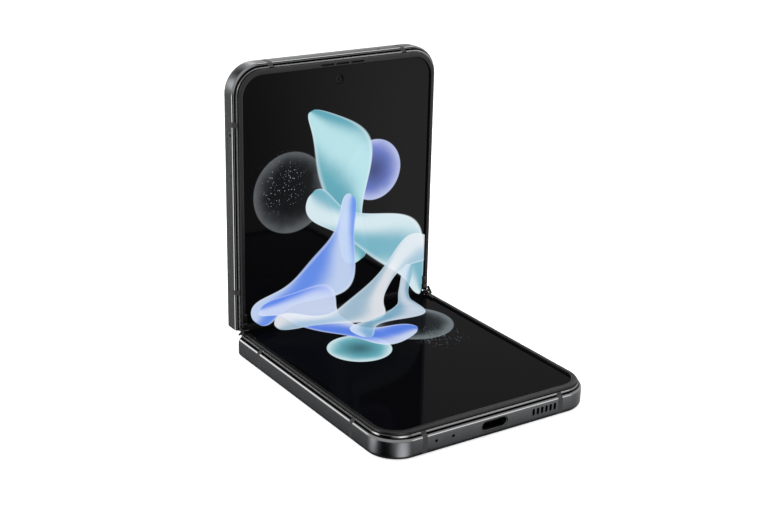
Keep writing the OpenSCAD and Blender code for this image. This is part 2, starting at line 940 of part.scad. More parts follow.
module lower_hinge_arms() {
  color("darkgray") on_lower() hinge_arms(1);
}

// ---- spine ----
module arch(r) {
  intersection() {
    translate([0, arch_q]) circle(r);
    translate([-spine_w / 2, -2 * spine_depth]) square([spine_w, 2 * spine_depth - cover_drop]);
  }
}

module hinge_cover() {
  color(graphite) on_spine() difference() {
    along_x(-spine_x, spine_x) arch(arch_r);
    along_x(cover_end - spine_x, spine_x - cover_end) translate([0, arch_q]) circle(arch_in);
    hinge_screws_at() translate([0, 0, -spine_depth + cover_t - hinge_grip - touch])
      cylinder(r = hinge_screw_r + run_gap, h = spine_depth);
  }
}

module hinge_screws_at() {
  for (s = [-1, 1], d = [-hinge_screw_x, hinge_screw_x])
    translate([s * (module_x + d), 0, 0]) children();
}

module gears_at(i) {
  for (s = [-1, 1]) translate([s * module_x, gear_ps[i], gear_q]) rotate([90, 0, 90]) children();
}

module housing_profile() {
  intersection() {
    translate([0, arch_q]) circle(arch_in - 0.02);
    union() {
      translate([-housing_p, -big]) square([2 * housing_p, big + housing_top]);
      translate([-housing_wide, -big]) square([2 * housing_wide, big - cover_drop]);
    }
  }
}

module rail_groove() {
  difference() {
    circle(rail_r + rail_t + run_gap);
    circle(rail_r - run_gap);
  }
}

module hinge_housings() {
  groove = arm_w / 2 + small;
  color("darkgray") on_spine() difference() {
    for (s = [-1, 1])
      along_x(s * module_x - housing_x, s * module_x + housing_x) housing_profile();
    for (s = [-1, 1], side = [-1, 1]) {
      x = s * (module_x + side * arm_offset);
      along_x(x - groove, x + groove) translate([-side * axis_a, 0]) rail_groove();
    }
    for (s = [-1, 1])
      block([s * module_x - gear_w / 2 - small, -gear_ps[3] - gear_tip - small, -big],
            [s * module_x + gear_w / 2 + small, gear_ps[3] + gear_tip + small, 0]);
    for (i = [0 : 3]) gears_at(i)
      cylinder(r = shaft_r + run_gap, h = shaft_main + 2 * small, center = true);
    for (i = [0, 3], d = [-clip_off, clip_off]) gears_at(i) translate([0, 0, d])
      cylinder(r = clip_r + run_gap, h = clip_w + small, center = true);
    hinge_screws_at() {
      translate([0, 0, -big]) cylinder(r = hinge_screw_r + run_gap, h = big);
      translate([0, 0, housing_top - hinge_head_t - touch])
        cylinder(r = hinge_head_r + run_gap, h = 2);
    }
  }
}

module hinge_screws() {
  color("silver") on_spine() hinge_screws_at() {
    low = -spine_depth + cover_t - hinge_grip;
    head = housing_top - hinge_head_t - run_gap / 2;
    translate([0, 0, head]) cylinder(r = hinge_head_r, h = hinge_head_t);
    translate([0, 0, low]) cylinder(r = hinge_screw_r, h = head + small - low);
  }
}

module hinge_end_caps() {
  color("black") on_spine() for (s = [0, 1]) mirror([s, 0, 0]) {
    x0 = spine_x - cover_end;
    x1 = body_w / 2 - bezel_in + touch;
    block([x0, -cap_half, -cover_drop], [spine_x - 0.02, cap_half, small]);
    // the head bridges both rims at the fold
    block([x1, -cap_wide, 0.05], [body_w / 2 - cap_side, cap_wide, cap_head]);
    along_x(x0, x1 + small) intersection() {
      translate([-cap_half, 0.05]) square([2 * cap_half, bezel_h - 0.1]);
      translate([0, bezel_h - 0.05 - cap_half]) union() {
        circle(cap_half);
        translate([-cap_half, -1]) square([2 * cap_half, 1]);
      }
    }
  }
}

module gear_profile() {
  circle(gear_root);
  for (i = [0 : gear_teeth - 1]) rotate(i * gear_step)
    polygon([
      for (a = [-0.21, 0.21]) (gear_root - 0.1) * [cos(a * gear_step), sin(a * gear_step)],
      for (a = [0.08, -0.08]) gear_tip * [cos(a * gear_step), sin(a * gear_step)]
    ]);
}

// a gear on its own shaft, turned to mesh with its neighbours
module timing_gear(turn, shaft) {
  rotate(turn) linear_extrude(gear_w, center = true) gear_profile();
  cylinder(r = shaft_r, h = shaft, center = true);
}

module lower_main_gears() {
  color("gold") on_spine() gears_at(0) timing_gear(-fold, shaft_main);
}

module lower_idler_gears() {
  color("gold") on_spine() gears_at(1) timing_gear(fold + gear_step / 2, shaft_idler);
}

module upper_idler_gears() {
  color("gold") on_spine() gears_at(2) timing_gear(-fold, shaft_idler);
}

module upper_main_gears() {
  color("gold") on_spine() gears_at(3) timing_gear(fold + gear_step / 2, shaft_main);
}

module friction_clips() {
  color(steel) on_spine() for (i = [0, 3], d = [-clip_off, clip_off])
    gears_at(i) translate([0, 0, d]) linear_extrude(clip_w, center = true) difference() {
      circle(clip_r);
      circle(shaft_r + run_gap);
      translate([-0.1, 0]) square([0.2, 2]);
    }
}

// a strip between two depths under the display that follows the bend at rest:
// an arc between the two halves, then straight along each of them
module bent_strip(depth, thick, reach) {
  function edge(d) = [
    for (i = [-bend_steps : bend_steps]) let (a = i * fold / bend_steps)
      [0, bend_q] + (bend_r + d) * [sin(a), -cos(a)]
  ];
  function foot(s, d) = [s * axis_a, 0] + (reach - axis_a) * [s * cos(fold), sin(fold)]
    + d * [s * sin(fold), -cos(fold)];
  function reversed(list) = [for (i = [len(list) - 1 : -1 : 0]) list[i]];
  polygon(concat([foot(-1, depth)], edge(depth), [foot(1, depth), foot(1, depth + thick)],
                 reversed(edge(depth + thick)), [foot(-1, depth + thick)]));
}

module fold_display() {
  half = spine_x - cover_end - 0.25;
  color("black") on_spine() along_x(-half, half) bent_strip(0, panel_t, panel_v);
}

module flex_cables() {
  color("orange") on_spine() for (s = [0, 1]) mirror([s, 0, 0])
    along_x(flex_x[0], flex_x[1]) bent_strip(flex_depth, flex_t, flex_v);
}

upper_frame();
upper_antenna_breaks();
upper_mid_plate();
upper_bezel();
upper_bezel_ends();
upper_display();
earpiece_mesh();
earpiece_speaker();
front_camera();
upper_back_glass();
cover_window();
cover_display();
camera_rings();
camera_lenses();
rear_cameras();
rear_flash();
main_board();
shield_cans();
upper_battery();
upper_magnets();
upper_screws();
upper_microphone();
upper_hinge_arms();
upper_fold_plate();
volume_key();
side_key();
key_switches();
card_tray();
card_socket();
lower_frame();
lower_antenna_breaks();
lower_mid_plate();
lower_bezel();
lower_bezel_ends();
lower_display();
lower_back_glass();
lower_battery();
charging_coil();
lower_board();
usb_shell();
usb_tongue();
loudspeaker();
speaker_mesh();
lower_microphones();
vibration_motor();
lower_magnets();
lower_screws();
lower_hinge_arms();
lower_fold_plate();
hinge_cover();
hinge_housings();
hinge_screws();
hinge_end_caps();
lower_main_gears();
lower_idler_gears();
upper_idler_gears();
upper_main_gears();
friction_clips();
fold_display();
flex_cables();
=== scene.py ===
import json
import math

import bmesh
import bpy
import numpy as np
from mathutils import Matrix, Vector


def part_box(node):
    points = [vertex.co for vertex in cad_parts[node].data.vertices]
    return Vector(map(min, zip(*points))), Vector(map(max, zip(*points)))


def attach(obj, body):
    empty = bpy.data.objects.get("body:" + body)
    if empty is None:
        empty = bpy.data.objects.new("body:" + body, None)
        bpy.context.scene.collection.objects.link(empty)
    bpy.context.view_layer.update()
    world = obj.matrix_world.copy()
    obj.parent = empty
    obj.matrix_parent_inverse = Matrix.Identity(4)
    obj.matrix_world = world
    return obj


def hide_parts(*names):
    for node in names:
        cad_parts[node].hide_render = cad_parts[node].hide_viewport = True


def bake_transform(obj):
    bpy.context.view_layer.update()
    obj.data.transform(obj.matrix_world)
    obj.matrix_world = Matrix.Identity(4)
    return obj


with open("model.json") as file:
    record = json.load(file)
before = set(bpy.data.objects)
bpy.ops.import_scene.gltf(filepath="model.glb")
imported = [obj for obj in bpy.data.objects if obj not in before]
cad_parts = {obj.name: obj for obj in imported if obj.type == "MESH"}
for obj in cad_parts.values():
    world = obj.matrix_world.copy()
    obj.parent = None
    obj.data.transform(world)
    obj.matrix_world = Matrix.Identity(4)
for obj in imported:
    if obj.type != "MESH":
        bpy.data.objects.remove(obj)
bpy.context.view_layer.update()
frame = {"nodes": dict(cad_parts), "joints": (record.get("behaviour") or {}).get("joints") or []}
mm = 0.001
nodes = frame["nodes"]
print("frame loaded:", len(nodes), "nodes")

# the two fold axes give the places of both halves and of the spine between them
foldJoints = {j["name"]: j for j in frame["joints"]}
lowerAxis = np.array(foldJoints["lower_fold"]["pos_m"]) / mm
upperAxis = np.array(foldJoints["upper_fold"]["pos_m"]) / mm
axisHalf = float(np.linalg.norm(upperAxis - lowerAxis)) / 2
foldAngle = math.atan2(upperAxis[2] - lowerAxis[2], upperAxis[1] - lowerAxis[1])

# one half of the phone in mm: x across, v away from the fold, w from back to display
half = {
    "width": 71.9, "far": 82.6, "start": 0.2, "cornerR": 9.2, "wall": 2.2, "rim": 1.4, "backRound": 1.2,
    "glass": 0.65, "panel": 0.6, "panelV": axisHalf + 1.1, "lipEnd": 1.8, "windowV": 48.6, "cavityV": 8.0,
    "cavityWall": 0.8, "inset": 1.45, "rimBevel": 0.07,
}
thick = float(lowerAxis[2])   # from the back to the display plane
hx = half["width"] / 2   # a half's outer face
innerX = hx - half["wall"]
farInner = half["far"] - half["wall"]
spineX = innerX - 0.3
sideOrder, farOrder = (2, 0, 1), (0, 2, 1)   # a shape drawn in (v, w) along x, or in (x, w) along v


# places: a half's own x, v, w and the spine's x, p, q to metres in the frame
def turned(p, pivot, angle, low):
    # Moves (x, a, b) to the pivot and turns it about X: y = a cos - b sin, z = a sin + b cos.
    p = np.asarray(p, float)
    a = p[..., 1] - low[0]
    b = p[..., 2] - low[1]
    y = pivot[1] + a * math.cos(angle) - b * math.sin(angle)
    z = pivot[2] + a * math.sin(angle) + b * math.cos(angle)
    return np.stack([p[..., 0], y, z], -1) * mm


def toLower(p):
    # y = axis + offset - v, z = w: the lower half lies flat, mirrored along v.
    p = np.asarray(p, float)
    return np.stack([p[..., 0], lowerAxis[1] + axisHalf - p[..., 1], p[..., 2]], -1) * mm


def toUpper(p):
    # The upper half is turned by both folds, twice the fold angle.
    return turned(p, upperAxis, 2 * foldAngle, (axisHalf, thick))


def toSpine(p):
    # The spine is turned by the lower fold alone.
    return turned(p, lowerAxis, foldAngle, (-axisHalf, 0))


# outlines and solids
def arcPoints(centre, radius, start, end, steps):
    # centre + radius (cos a, sin a) for a from start to end, in degrees.
    a = np.radians(np.linspace(start, end, steps + 1))
    return np.stack([centre[0] + radius * np.cos(a), centre[1] + radius * np.sin(a)], -1)


def roundRect(low, high, radius, inset=0.0, steps=6):
    # A rectangle with four round corners, drawn inset from its edge.
    x0, y0, x1, y1 = low[0] + inset, low[1] + inset, high[0] - inset, high[1] - inset
    r = max(radius - inset, 0.01)
    corners = [(x1 - r, y0 + r, -90), (x1 - r, y1 - r, 0), (x0 + r, y1 - r, 90), (x0 + r, y0 + r, 180)]
    return np.concatenate([arcPoints((x, y), r, a, a + 90, steps) for x, y, a in corners])


def pillShape(centre, length, height, inset=0.0, steps=12):
    # A straight slot with half-round ends: length along the first axis.
    r = height / 2 - inset
    reach = (length - height) / 2
    right = arcPoints((centre[0] + reach, centre[1]), r, -90, 90, steps)
    left = arcPoints((centre[0] - reach, centre[1]), r, 90, 270, steps)
    return np.concatenate([right, left])


def halfShape(v0, inset, steps=28):
    # The outline of a half, inset from its outer face, square at v0 and round at the far corners.
    x, far, r = hx - inset, half["far"] - inset, half["cornerR"] - inset
    right = arcPoints((x - r, far - r), r, 0, 90, steps)
    left = arcPoints((r - x, far - r), r, 90, 180, steps)
    return np.concatenate([[[-x, v0], [x, v0]], right, left])


def sidePath(v0, inset=0.0, farInset=None, steps=28):
    # The open line along a half's edge from the left hinge end, round the far edge, to the right
    # hinge end, with its inward normals.
    x, far, r = hx - inset, half["far"] - (inset if farInset is None else farInset), half["cornerR"] - inset
    left = [((-x, v), (1, 0)) for v in (v0, far - r)]
    middle = [((p, far), (0, -1)) for p in (r - x, x - r)]
    right = [((x, v), (-1, 0)) for v in (far - r, v0)]
    turn = np.radians(np.linspace(180, 90, steps + 1)[1:-1])
    one = [((r - x + r * math.cos(a), far - r + r * math.sin(a)), (-math.cos(a), -math.sin(a))) for a in turn]
    two = [((-p[0], p[1]), (-n[0], n[1])) for p, n in one[::-1]]
    line = left + one + middle + two + right
    return np.array([p for p, n in line], float), np.array([n for p, n in line], float)


def loft(loops, closed=False):
    # Quads between neighbouring loops of equal length, and one flat face over each end.
    loops = np.asarray(loops, float)
    rows, count = loops.shape[:2]
    index = np.arange(rows * count).reshape(rows, count)
    nextRow = np.roll(index, -1, 0) if closed else index[1:]
    here = index if closed else index[:-1]
    quads = np.stack([here, np.roll(here, -1, 1), np.roll(nextRow, -1, 1), nextRow], -1)
    faces = quads.reshape(-1, 4).tolist()
    if not closed:
        faces += [index[0][::-1].tolist(), index[-1].tolist()]
    return loops.reshape(-1, 3), faces


def joined(parts):
    # Several shells as one list of points and faces.
    points, faces, base = [], [], 0
    for p, f in parts:
        points.append(p)
        faces += [[i + base for i in face] for face in f]
        base += len(p)
    return np.concatenate(points), faces


def bothSides(parts):
    # The shells and their mirror images in x.
    return joined(parts + [(p * np.array([-1, 1, 1]), f) for p, f in parts])


def levels(shape, steps):
    # A plate from (inset, height) steps: the outline at each inset lies at that height.
    rows = []
    for inset, height in steps:
        flat = shape(inset)
        rows.append(np.concatenate([flat, np.full((len(flat), 1), height)], 1))
    return loft(rows)


def acrossX(section, xs):
    # The section, drawn in the two axes after x, carried along x.
    return loft([np.concatenate([np.full((len(section), 1), x), section], 1) for x in xs])


def roundEdge(radius, top, sign, count=4):
    # (inset, height) steps of a quarter-round edge that ends at height top.
    a = np.linspace(0, math.pi / 2, count + 1)
    return [(radius * (1 - math.cos(t)), top - sign * radius * (1 - math.sin(t))) for t in a]


def softBlock(low, high, radius, corner=None):
    # A block whose upright corners are round and whose top and bottom edges are rounded.
    corner = radius * 1.5 if corner is None else corner
    shape = lambda inset: roundRect(low[:2], high[:2], corner, inset, 4)
    bottom = roundEdge(radius, low[2], -1, 3)[::-1]
    return levels(shape, bottom + roundEdge(radius, high[2], 1, 3))


def swap(part, order):
    # Reorders the axes of a shell, such as (2, 0, 1) to draw a plate along x.
    points, faces = part
    return points[:, list(order)], faces


def lathe(profile, centre, steps=64, closed=False):
    # A (radius, height) profile turned about the axis through centre = (x, v).
    a = np.linspace(0, 2 * math.pi, steps, endpoint=False)
    rows = [np.stack([centre[0] + r * np.cos(a), centre[1] + r * np.sin(a), np.full(steps, h)], -1)
            for r, h in profile]
    return loft(rows, closed)


def box(low, high):
    # A plain cutting block.
    shape = np.array([[low[0], low[1]], [high[0], low[1]], [high[0], high[1]], [low[0], high[1]]], float)
    return levels(lambda i: shape, [(0, low[2]), (0, high[2])])


def roundHole(centre, radius, low=-1.0, high=2.0):
    # A round cutting rod of 60 sides.
    return levels(lambda i: arcPoints(centre, radius - i, 0, 354, 59), [(0, low), (0, high)])


def plug(shape, order, outside, inside, flare=0.12):
    # A cutting plug: the shape from inside to the outer face, a little wider at the face.
    step = math.copysign(1, outside - inside)
    rows = [(0, inside), (0, outside - step * flare), (-flare, outside), (-flare, outside + step * 2)]
    return swap(levels(shape, rows), order)


def pillPlug(centre, length, height, grow, *rest):
    # A plug of the pill shape, larger by grow all round.
    return plug(lambda i: pillShape(centre, length + 2 * grow, height + 2 * grow, i), *rest)


def roundPlug(centre, radius, *rest):
    # A round plug of 24 sides.
    return plug(lambda i: arcPoints(centre, radius - i, 0, 345, 23), *rest)


# meshes
def makePiece(name, part, place, body, material, angle=32, cutters=(), mask=None, film=None, adds=(),
              node=None):
    # Builds the mesh in its own mm axes, cuts it, keeps each shell's faces outwards and sets it in place.
    # It takes the place of the CAD node of its name, or of the one that is given.
    piece = bpy.data.objects.new(name, bpy.data.meshes.new(name))
    bpy.context.scene.collection.objects.link(piece)
    fillMesh(piece.data, part)
    for shell in adds:
        combine(piece, shell, "UNION")
    if cutters:
        combine(piece, joined(cutters), "DIFFERENCE")
    mesh = piece.data
    own = np.empty(len(mesh.vertices) * 3)
    mesh.vertices.foreach_get("co", own)
    own = own.reshape(-1, 3)
    if mask is not None:
        # the mask's values: 1 for polished metal, 2 for the band painted near-black as shade
        layer = mesh.attributes.new("polishAndShade", "FLOAT", "POINT")
        layer.data.foreach_set("value", mask(own).astype(np.float32))
    if film is not None:
        corner = np.empty(len(mesh.loops), np.int32)
        mesh.loops.foreach_get("vertex_index", corner)
        layer = mesh.uv_layers.new(name="film")
        layer.data.foreach_set("uv", film(own)[corner].astype(np.float32).ravel())
    mesh.vertices.foreach_set("co", place(own).astype(np.float32).ravel())
    if place is toLower:
        mesh.flip_normals()
    mesh.polygons.foreach_set("use_smooth", np.ones(len(mesh.polygons), bool))
    mesh.set_sharp_from_angle(angle=math.radians(angle))
    mesh.update()
    mesh.materials.append(material)
    if body:
        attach(piece, body)
    node = node or name
    if node in nodes:
        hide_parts(node)
    return piece


def fillMesh(mesh, part):
    # Puts the points in and turns each closed shell outwards; seams are merged first.
    points, faces = part
    mesh.from_pydata(points.tolist(), [], faces)
    work = bmesh.new()
    work.from_mesh(mesh)
    bmesh.ops.remove_doubles(work, verts=work.verts, dist=0.0005)
    bmesh.ops.dissolve_degenerate(work, edges=work.edges, dist=0.0002)
    bmesh.ops.recalc_face_normals(work, faces=work.faces)
    work.to_mesh(mesh)
    work.free()


def combine(piece, part, operation):
    # Adds the part to the piece or takes it away, with an exact boolean.
    tool = bpy.data.objects.new("tool", bpy.data.meshes.new("tool"))
    bpy.context.scene.collection.objects.link(tool)
    fillMesh(tool.data, part)
    step = piece.modifiers.new("combine", "BOOLEAN")
    step.operation = operation
    step.solver = "EXACT"
    step.object = tool
    bpy.context.view_layer.update()
    result = piece.evaluated_get(bpy.context.evaluated_depsgraph_get())
    old, piece.data = piece.data, bpy.data.meshes.new_from_object(result)
    piece.modifiers.clear()
    bpy.data.meshes.remove(old)
    bpy.data.objects.remove(tool)


# camera
shot = {
    "azimuth": -33.875, "elevation": 20.215, "roll": 1.41, "focalPixels": 1409.0,
    "imageWidth": 780, "sensor": 36.0, "place": (-219.0, -313.7, 178.9), "nearClip": 0.01,
}


def addCamera():
    # back points from the aim to the camera by azimuth and elevation; roll turns right and up about it.
    az, el, roll = (math.radians(shot[k]) for k in ("azimuth", "elevation", "roll"))
    back = np.array([math.sin(az) * math.cos(el), -math.cos(az) * math.cos(el), math.sin(el)])
    level = np.array([math.cos(az), math.sin(az), 0])
    up = np.cross(back, level)
    right = level * math.cos(roll) + up * math.sin(roll)
    up = up * math.cos(roll) - level * math.sin(roll)
    data = bpy.data.cameras.new("camera")
    data.sensor_width = shot["sensor"]
    data.lens = shot["focalPixels"] * shot["sensor"] / shot["imageWidth"]
    data.clip_start = shot["nearClip"]
    camera = bpy.data.objects.new("camera", data)
    turn = Matrix([[right[i], up[i], back[i]] for i in range(3)]).to_4x4()
    camera.matrix_world = Matrix.Translation([c * mm for c in shot["place"]]) @ turn
    bpy.context.scene.collection.objects.link(camera)
    bpy.context.scene.camera = camera


addCamera()
bpy.context.scene.view_settings.view_transform = "Standard"
print("camera placed")


# shader helpers
def linear(r, g, b):
    # A screen colour, 0 to 255, as the linear values that a shader takes.
    return tuple(((c / 255 + 0.055) / 1.055) ** 2.4 if c > 10 else c / 255 / 12.92 for c in (r, g, b)) + (1,)


def grey(value, tint=0.0):
    # A grey of that screen value, a little blue by tint.
    return linear(value * (1 - tint), value, min(255, value * (1 + tint)))


class Value:
    # A shader value: plain arithmetic with it adds Math nodes to its tree.
    def __init__(self, socket):
        self.socket = socket
        self.tree = socket.id_data

    __add__ = __radd__ = lambda a, b: maths("ADD", a, b)
    __mul__ = __rmul__ = lambda a, b: maths("MULTIPLY", a, b)
    __sub__ = lambda a, b: maths("SUBTRACT", a, b)
    __rsub__ = lambda a, b: maths("SUBTRACT", b, a)
    __truediv__ = lambda a, b: maths("DIVIDE", a, b)
    __pow__ = lambda a, b: maths("POWER", a, b)
    __abs__ = lambda a: maths("ABSOLUTE", a)


def feed(socket, value):
    # Links a value or an output into the socket, or writes a plain value to it.
    if isinstance(value, Value):
        value = value.socket
    if isinstance(value, bpy.types.NodeSocket):
        socket.id_data.links.new(value, socket)
    else:
        socket.default_value = value


def add(tree, kind, **values):
    # A node of that kind; values set its properties, or its inputs by name or number.
    node = tree.nodes.new("ShaderNode" + kind)
    for key, value in values.items():
        if hasattr(node, key):
            setattr(node, key, value)
        else:
            feed(node.inputs[int(key[1:]) if key[1:].isdigit() else key.replace("_", " ")], value)
    return node


def get(tree, kind, output=0, **values):
    # One output of a new node.
    return Value(add(tree, kind, **values).outputs[output])


def maths(operation, a, b=0.0, clamp=False):
    # A Math node in the tree of whichever side is a value.
    tree = (a if isinstance(a, Value) else b).tree
    return get(tree, "Math", operation=operation, use_clamp=clamp, i0=a, i1=b)


def blendColour(amount, a, b):
    # a (1 - amount) + b amount.
    return get(amount.tree, "Mix", 2, data_type="RGBA", i0=amount, i6=a, i7=b)


def ramp(value, low, high, a=0.0, b=1.0):
    # Maps value from low..high to a..b, smoothly and held at the ends.
    return get(value.tree, "MapRange", interpolation_type="SMOOTHSTEP", i0=value, i1=low, i2=high, i3=a, i4=b)


def splitUp(vector):
    # The x, y and z of a vector.
    return [Value(part) for part in add(vector.tree, "SeparateXYZ", Vector=vector).outputs]


def newGroup(name, **inputs):
    # A shader node group; a plain value's form says whether its input is a number, colour or vector.
    tree = bpy.data.node_groups.new(name, "ShaderNodeTree")
    for title, value in inputs.items():
        kind = "Float" if isinstance(value, float) else "Color" if len(value) == 4 else "Vector"
        entry = tree.interface.new_socket(title.replace("_", " "), in_out="INPUT",
                                          socket_type="NodeSocket" + kind)
        entry.default_value = value
    return tree, {socket.name: Value(socket) for socket in tree.nodes.new("NodeGroupInput").outputs}


def finishGroup(tree, **outputs):
    # Gives the group its outputs.
    for title, value in outputs.items():
        kind = "Color" if value.socket.type == "RGBA" else "Float"
        tree.interface.new_socket(title, in_out="OUTPUT", socket_type="NodeSocket" + kind)
    last = tree.nodes.new("NodeGroupOutput").inputs
    for title, value in outputs.items():
        feed(last[title], value)
    return tree


def newMaterial(name, **shaderValues):
    # A material, its tree and its shader's inputs, with the given values on them.
    material = bpy.data.materials.new(name)
    material.use_nodes = True
    shader = material.node_tree.nodes["Principled BSDF"].inputs
    for key, value in shaderValues.items():
        feed(shader[key.replace("_", " ")], value)
    return material, material.node_tree, shader


def raiseBy(shader, height, strength, depth):
    # Bends the shader's normal as if the height stood out by depth.
    feed(shader["Normal"], get(height.tree, "Bump", Height=height, Strength=strength, Distance=depth))


# finishes
def makeGrain():
    # Fine grain: a coarse and a fine noise tint the colour, vary the gloss and raise the surface.
    tree, take = newGroup("fineGrain", Light=(0.5, 0.5, 0.5, 1), Dark=(0.4, 0.4, 0.4, 1), Coarse=120.0,
                          Fine=2500.0, Stretch=(1, 1, 1), Rough_Low=0.3, Rough_High=0.4)
    spot = get(tree, "TexCoord", "Object")
    where = get(tree, "VectorMath", operation="MULTIPLY", i0=spot, i1=take["Stretch"])
    coarse = get(tree, "TexNoise", Vector=where, Scale=take["Coarse"], Detail=3.0)
    fine = get(tree, "TexNoise", Vector=where, Scale=take["Fine"], Detail=2.0)
    spread = ramp(coarse * 0.6 + fine * 0.4, 0.36, 0.64)
    rough = get(tree, "MapRange", i0=spread, i1=0.0, i2=1.0, i3=take["Rough Low"], i4=take["Rough High"])
    colour = blendColour(spread, take["Dark"], take["Light"])
    return finishGroup(tree, Colour=colour, Roughness=rough, Height=fine)


grain = makeGrain()


def grained(name, light, dark, rough=(0.3, 0.42), coarse=120.0, fine=2500.0, stretch=(1, 1, 1),
            bump=0.05, depth=0.00002, **shaderValues):
    # A material of the fine grain: its colours, gloss and raised height with its own values.
    material, tree, shader = newMaterial(name, **shaderValues)
    look = add(tree, "Group", node_tree=grain, Light=light, Dark=dark, Coarse=coarse, Fine=fine,
               Stretch=stretch, Rough_Low=rough[0], Rough_High=rough[1]).outputs
    raiseBy(shader, Value(look["Height"]), bump, depth)
    feed(shader["Base Color"], look["Colour"])
    feed(shader["Roughness"], look["Roughness"])
    return material


def polishAndShadeGrain(name, light, dark, shine, shineRough, step, **values):
    # The grain, brighter and smoother where the mask attribute is 1, and the step's near-black colour where
    # it is 2, painted shade of the gap between frame and bezel.
    material = grained(name, light, dark, **values)
    tree = material.node_tree
    colour, gloss = (tree.nodes["Principled BSDF"].inputs[title] for title in ("Base Color", "Roughness"))
    zone = get(tree, "Attribute", "Fac", attribute_name="polishAndShade")
    mark = maths("MULTIPLY", zone, 1.0, True)
    shown = blendColour(mark, colour.links[0].from_socket, shine)
    # where the attribute is 2 the step colour is laid on: painted shade of the gap beside the bezel
    feed(colour, blendColour(maths("SUBTRACT", zone, 1.0, True), shown, step))
    feed(gloss, get(tree, "Mix", i0=mark, i2=gloss.links[0].from_socket, i3=shineRough))
    return material


# grey(14) is painted shade: the frame's step band drawn near-black in place of the gap's shadow beside the
# bezel
graphiteMetal = polishAndShadeGrain("graphiteMetal", grey(112, 0.02), grey(108, 0.02), grey(150), 0.15, grey(14),
                              rough=(0.26, 0.28), coarse=300.0, fine=6000.0, bump=0.015, Metallic=1.0)
hingeMetal = grained("hingeMetal", grey(112, 0.02), grey(108, 0.02), (0.2, 0.23), 200.0, 5000.0,
                     bump=0.01, Metallic=1.0)
antennaPlastic = grained("antennaPlastic", grey(52), grey(44), (0.5, 0.6), 300.0, 4000.0, bump=0.1)
bezelPlastic = grained("bezelPlastic", grey(20), grey(16), (0.28, 0.32), 300.0, 5000.0, bump=0.02)
glossBlack = grained("glossBlack", grey(16), grey(12), (0.15, 0.2), 300.0, 4000.0, bump=0.02)
etchedGlass = grained("etchedGlass", grey(70, 0.03), grey(66, 0.03), (0.38, 0.42), 150.0, 9000.0,
                      bump=0.04, Coat_Weight=0.15, Coat_Roughness=0.25)
windowGlass = grained("windowGlass", grey(9), grey(6), (0.03, 0.05), 60.0, 2000.0, bump=0.0,
                      Coat_Weight=0.3, Coat_Roughness=0.03)
pinholeGlass = grained("pinholeGlass", grey(7), grey(5), (0.06, 0.08), 60.0, 2000.0, bump=0.0, IOR=1.26)
coverScreen = grained("coverScreen", grey(8), grey(4), (0.1, 0.15), 60.0, 2000.0)
ringMetal = grained("ringMetal", grey(110, 0.02), grey(96, 0.02), (0.2, 0.3), 400.0, 7000.0,
                    bump=0.06, Metallic=1.0)
cameraBlack = grained("cameraBlack", grey(26), grey(18), (0.4, 0.55), 300.0, 4000.0, bump=0.1)
sheetSteel = grained("sheetSteel", grey(190), grey(165), (0.28, 0.4), 150.0, 1500.0, (12, 1, 1),
                     bump=0.08, Metallic=1.0)
groundSteel = grained("groundSteel", grey(165), grey(140), (0.3, 0.42), 200.0, 3000.0, (1, 8, 8),
                      bump=0.1, Metallic=1.0)
cellPouch = grained("cellPouch", grey(34), grey(26), (0.35, 0.5), 90.0, 1800.0, bump=0.3, depth=0.00005)
nickelPlate = grained("nickelPlate", grey(205), grey(190), (0.12, 0.2), 100.0, 2500.0, Metallic=1.0)
screwSteel = grained("screwSteel", grey(200), grey(170), (0.2, 0.32), 300.0, 3500.0, Metallic=1.0)
goldPlate = grained("goldPlate", linear(226, 190, 110), linear(200, 160, 84), (0.2, 0.3), 200.0, 3000.0,
                    Metallic=1.0)
portMetal = grained("portMetal", grey(120), grey(100), (0.25, 0.35), 300.0, 3500.0, (1, 6, 1), Metallic=1.0)
flexFilm = grained("flexFilm", linear(150, 84, 30), linear(128, 66, 20), (0.3, 0.4), 120.0, 2500.0)
lensGlass = grained("lensGlass", grey(250), grey(244), (0.0, 0.01), 60.0, 900.0, bump=0.0,
                    Transmission_Weight=1.0, IOR=1.45)
flashLens = grained("flashLens", linear(244, 236, 196), linear(232, 218, 160), (0.2, 0.3), 900.0, 9000.0,
                    bump=0.1, Coat_Weight=0.6)


def wovenFinish():
    # Two crossed sine waves of one pitch: wires where either is high, holes where both are low; the holes are
    # painted near-black, painted shade seen through the weave.
    tree, take = newGroup("wovenWire", Pitch=0.0003)
    x, _, z = splitUp(get(tree, "TexCoord", "Object"))
    waves = [abs(maths("SINE", axis / take["Pitch"] * math.pi)) for axis in (x, z)]
    finishGroup(tree, Wire=ramp(waves[0] * waves[1], 0.25, 0.6, 1.0, 0.0))
    material, own, shader = newMaterial("meshMetal", Metallic=1.0, Roughness=0.45)
    wire = get(own, "Group", node_tree=tree, Pitch=0.00035)
    # grey(4) in the holes is painted shade, the dark seen through the openings
    feed(shader["Base Color"], blendColour(wire, grey(4), grey(44)))
    raiseBy(shader, wire, 0.5, 0.00005)
    return material


def circuitFinish():
    # Solder mask with fine straight tracks and lighter pads.
    material, tree, shader = newMaterial("circuitBoard", Roughness=0.35, Coat_Weight=0.4)
    where = get(tree, "TexCoord", "Object")
    tracks = get(tree, "TexBrick", Vector=where, Scale=420.0, Mortar_Size=0.012, Color1=linear(18, 62, 44),
                 Color2=linear(24, 74, 52), Mortar=linear(120, 150, 96))
    pads = ramp(get(tree, "TexVoronoi", "Distance", Vector=where, Scale=900.0), 0.10, 0.16, 1.0, 0.0)
    feed(shader["Base Color"], blendColour(pads, tracks, linear(206, 176, 104)))
    return material


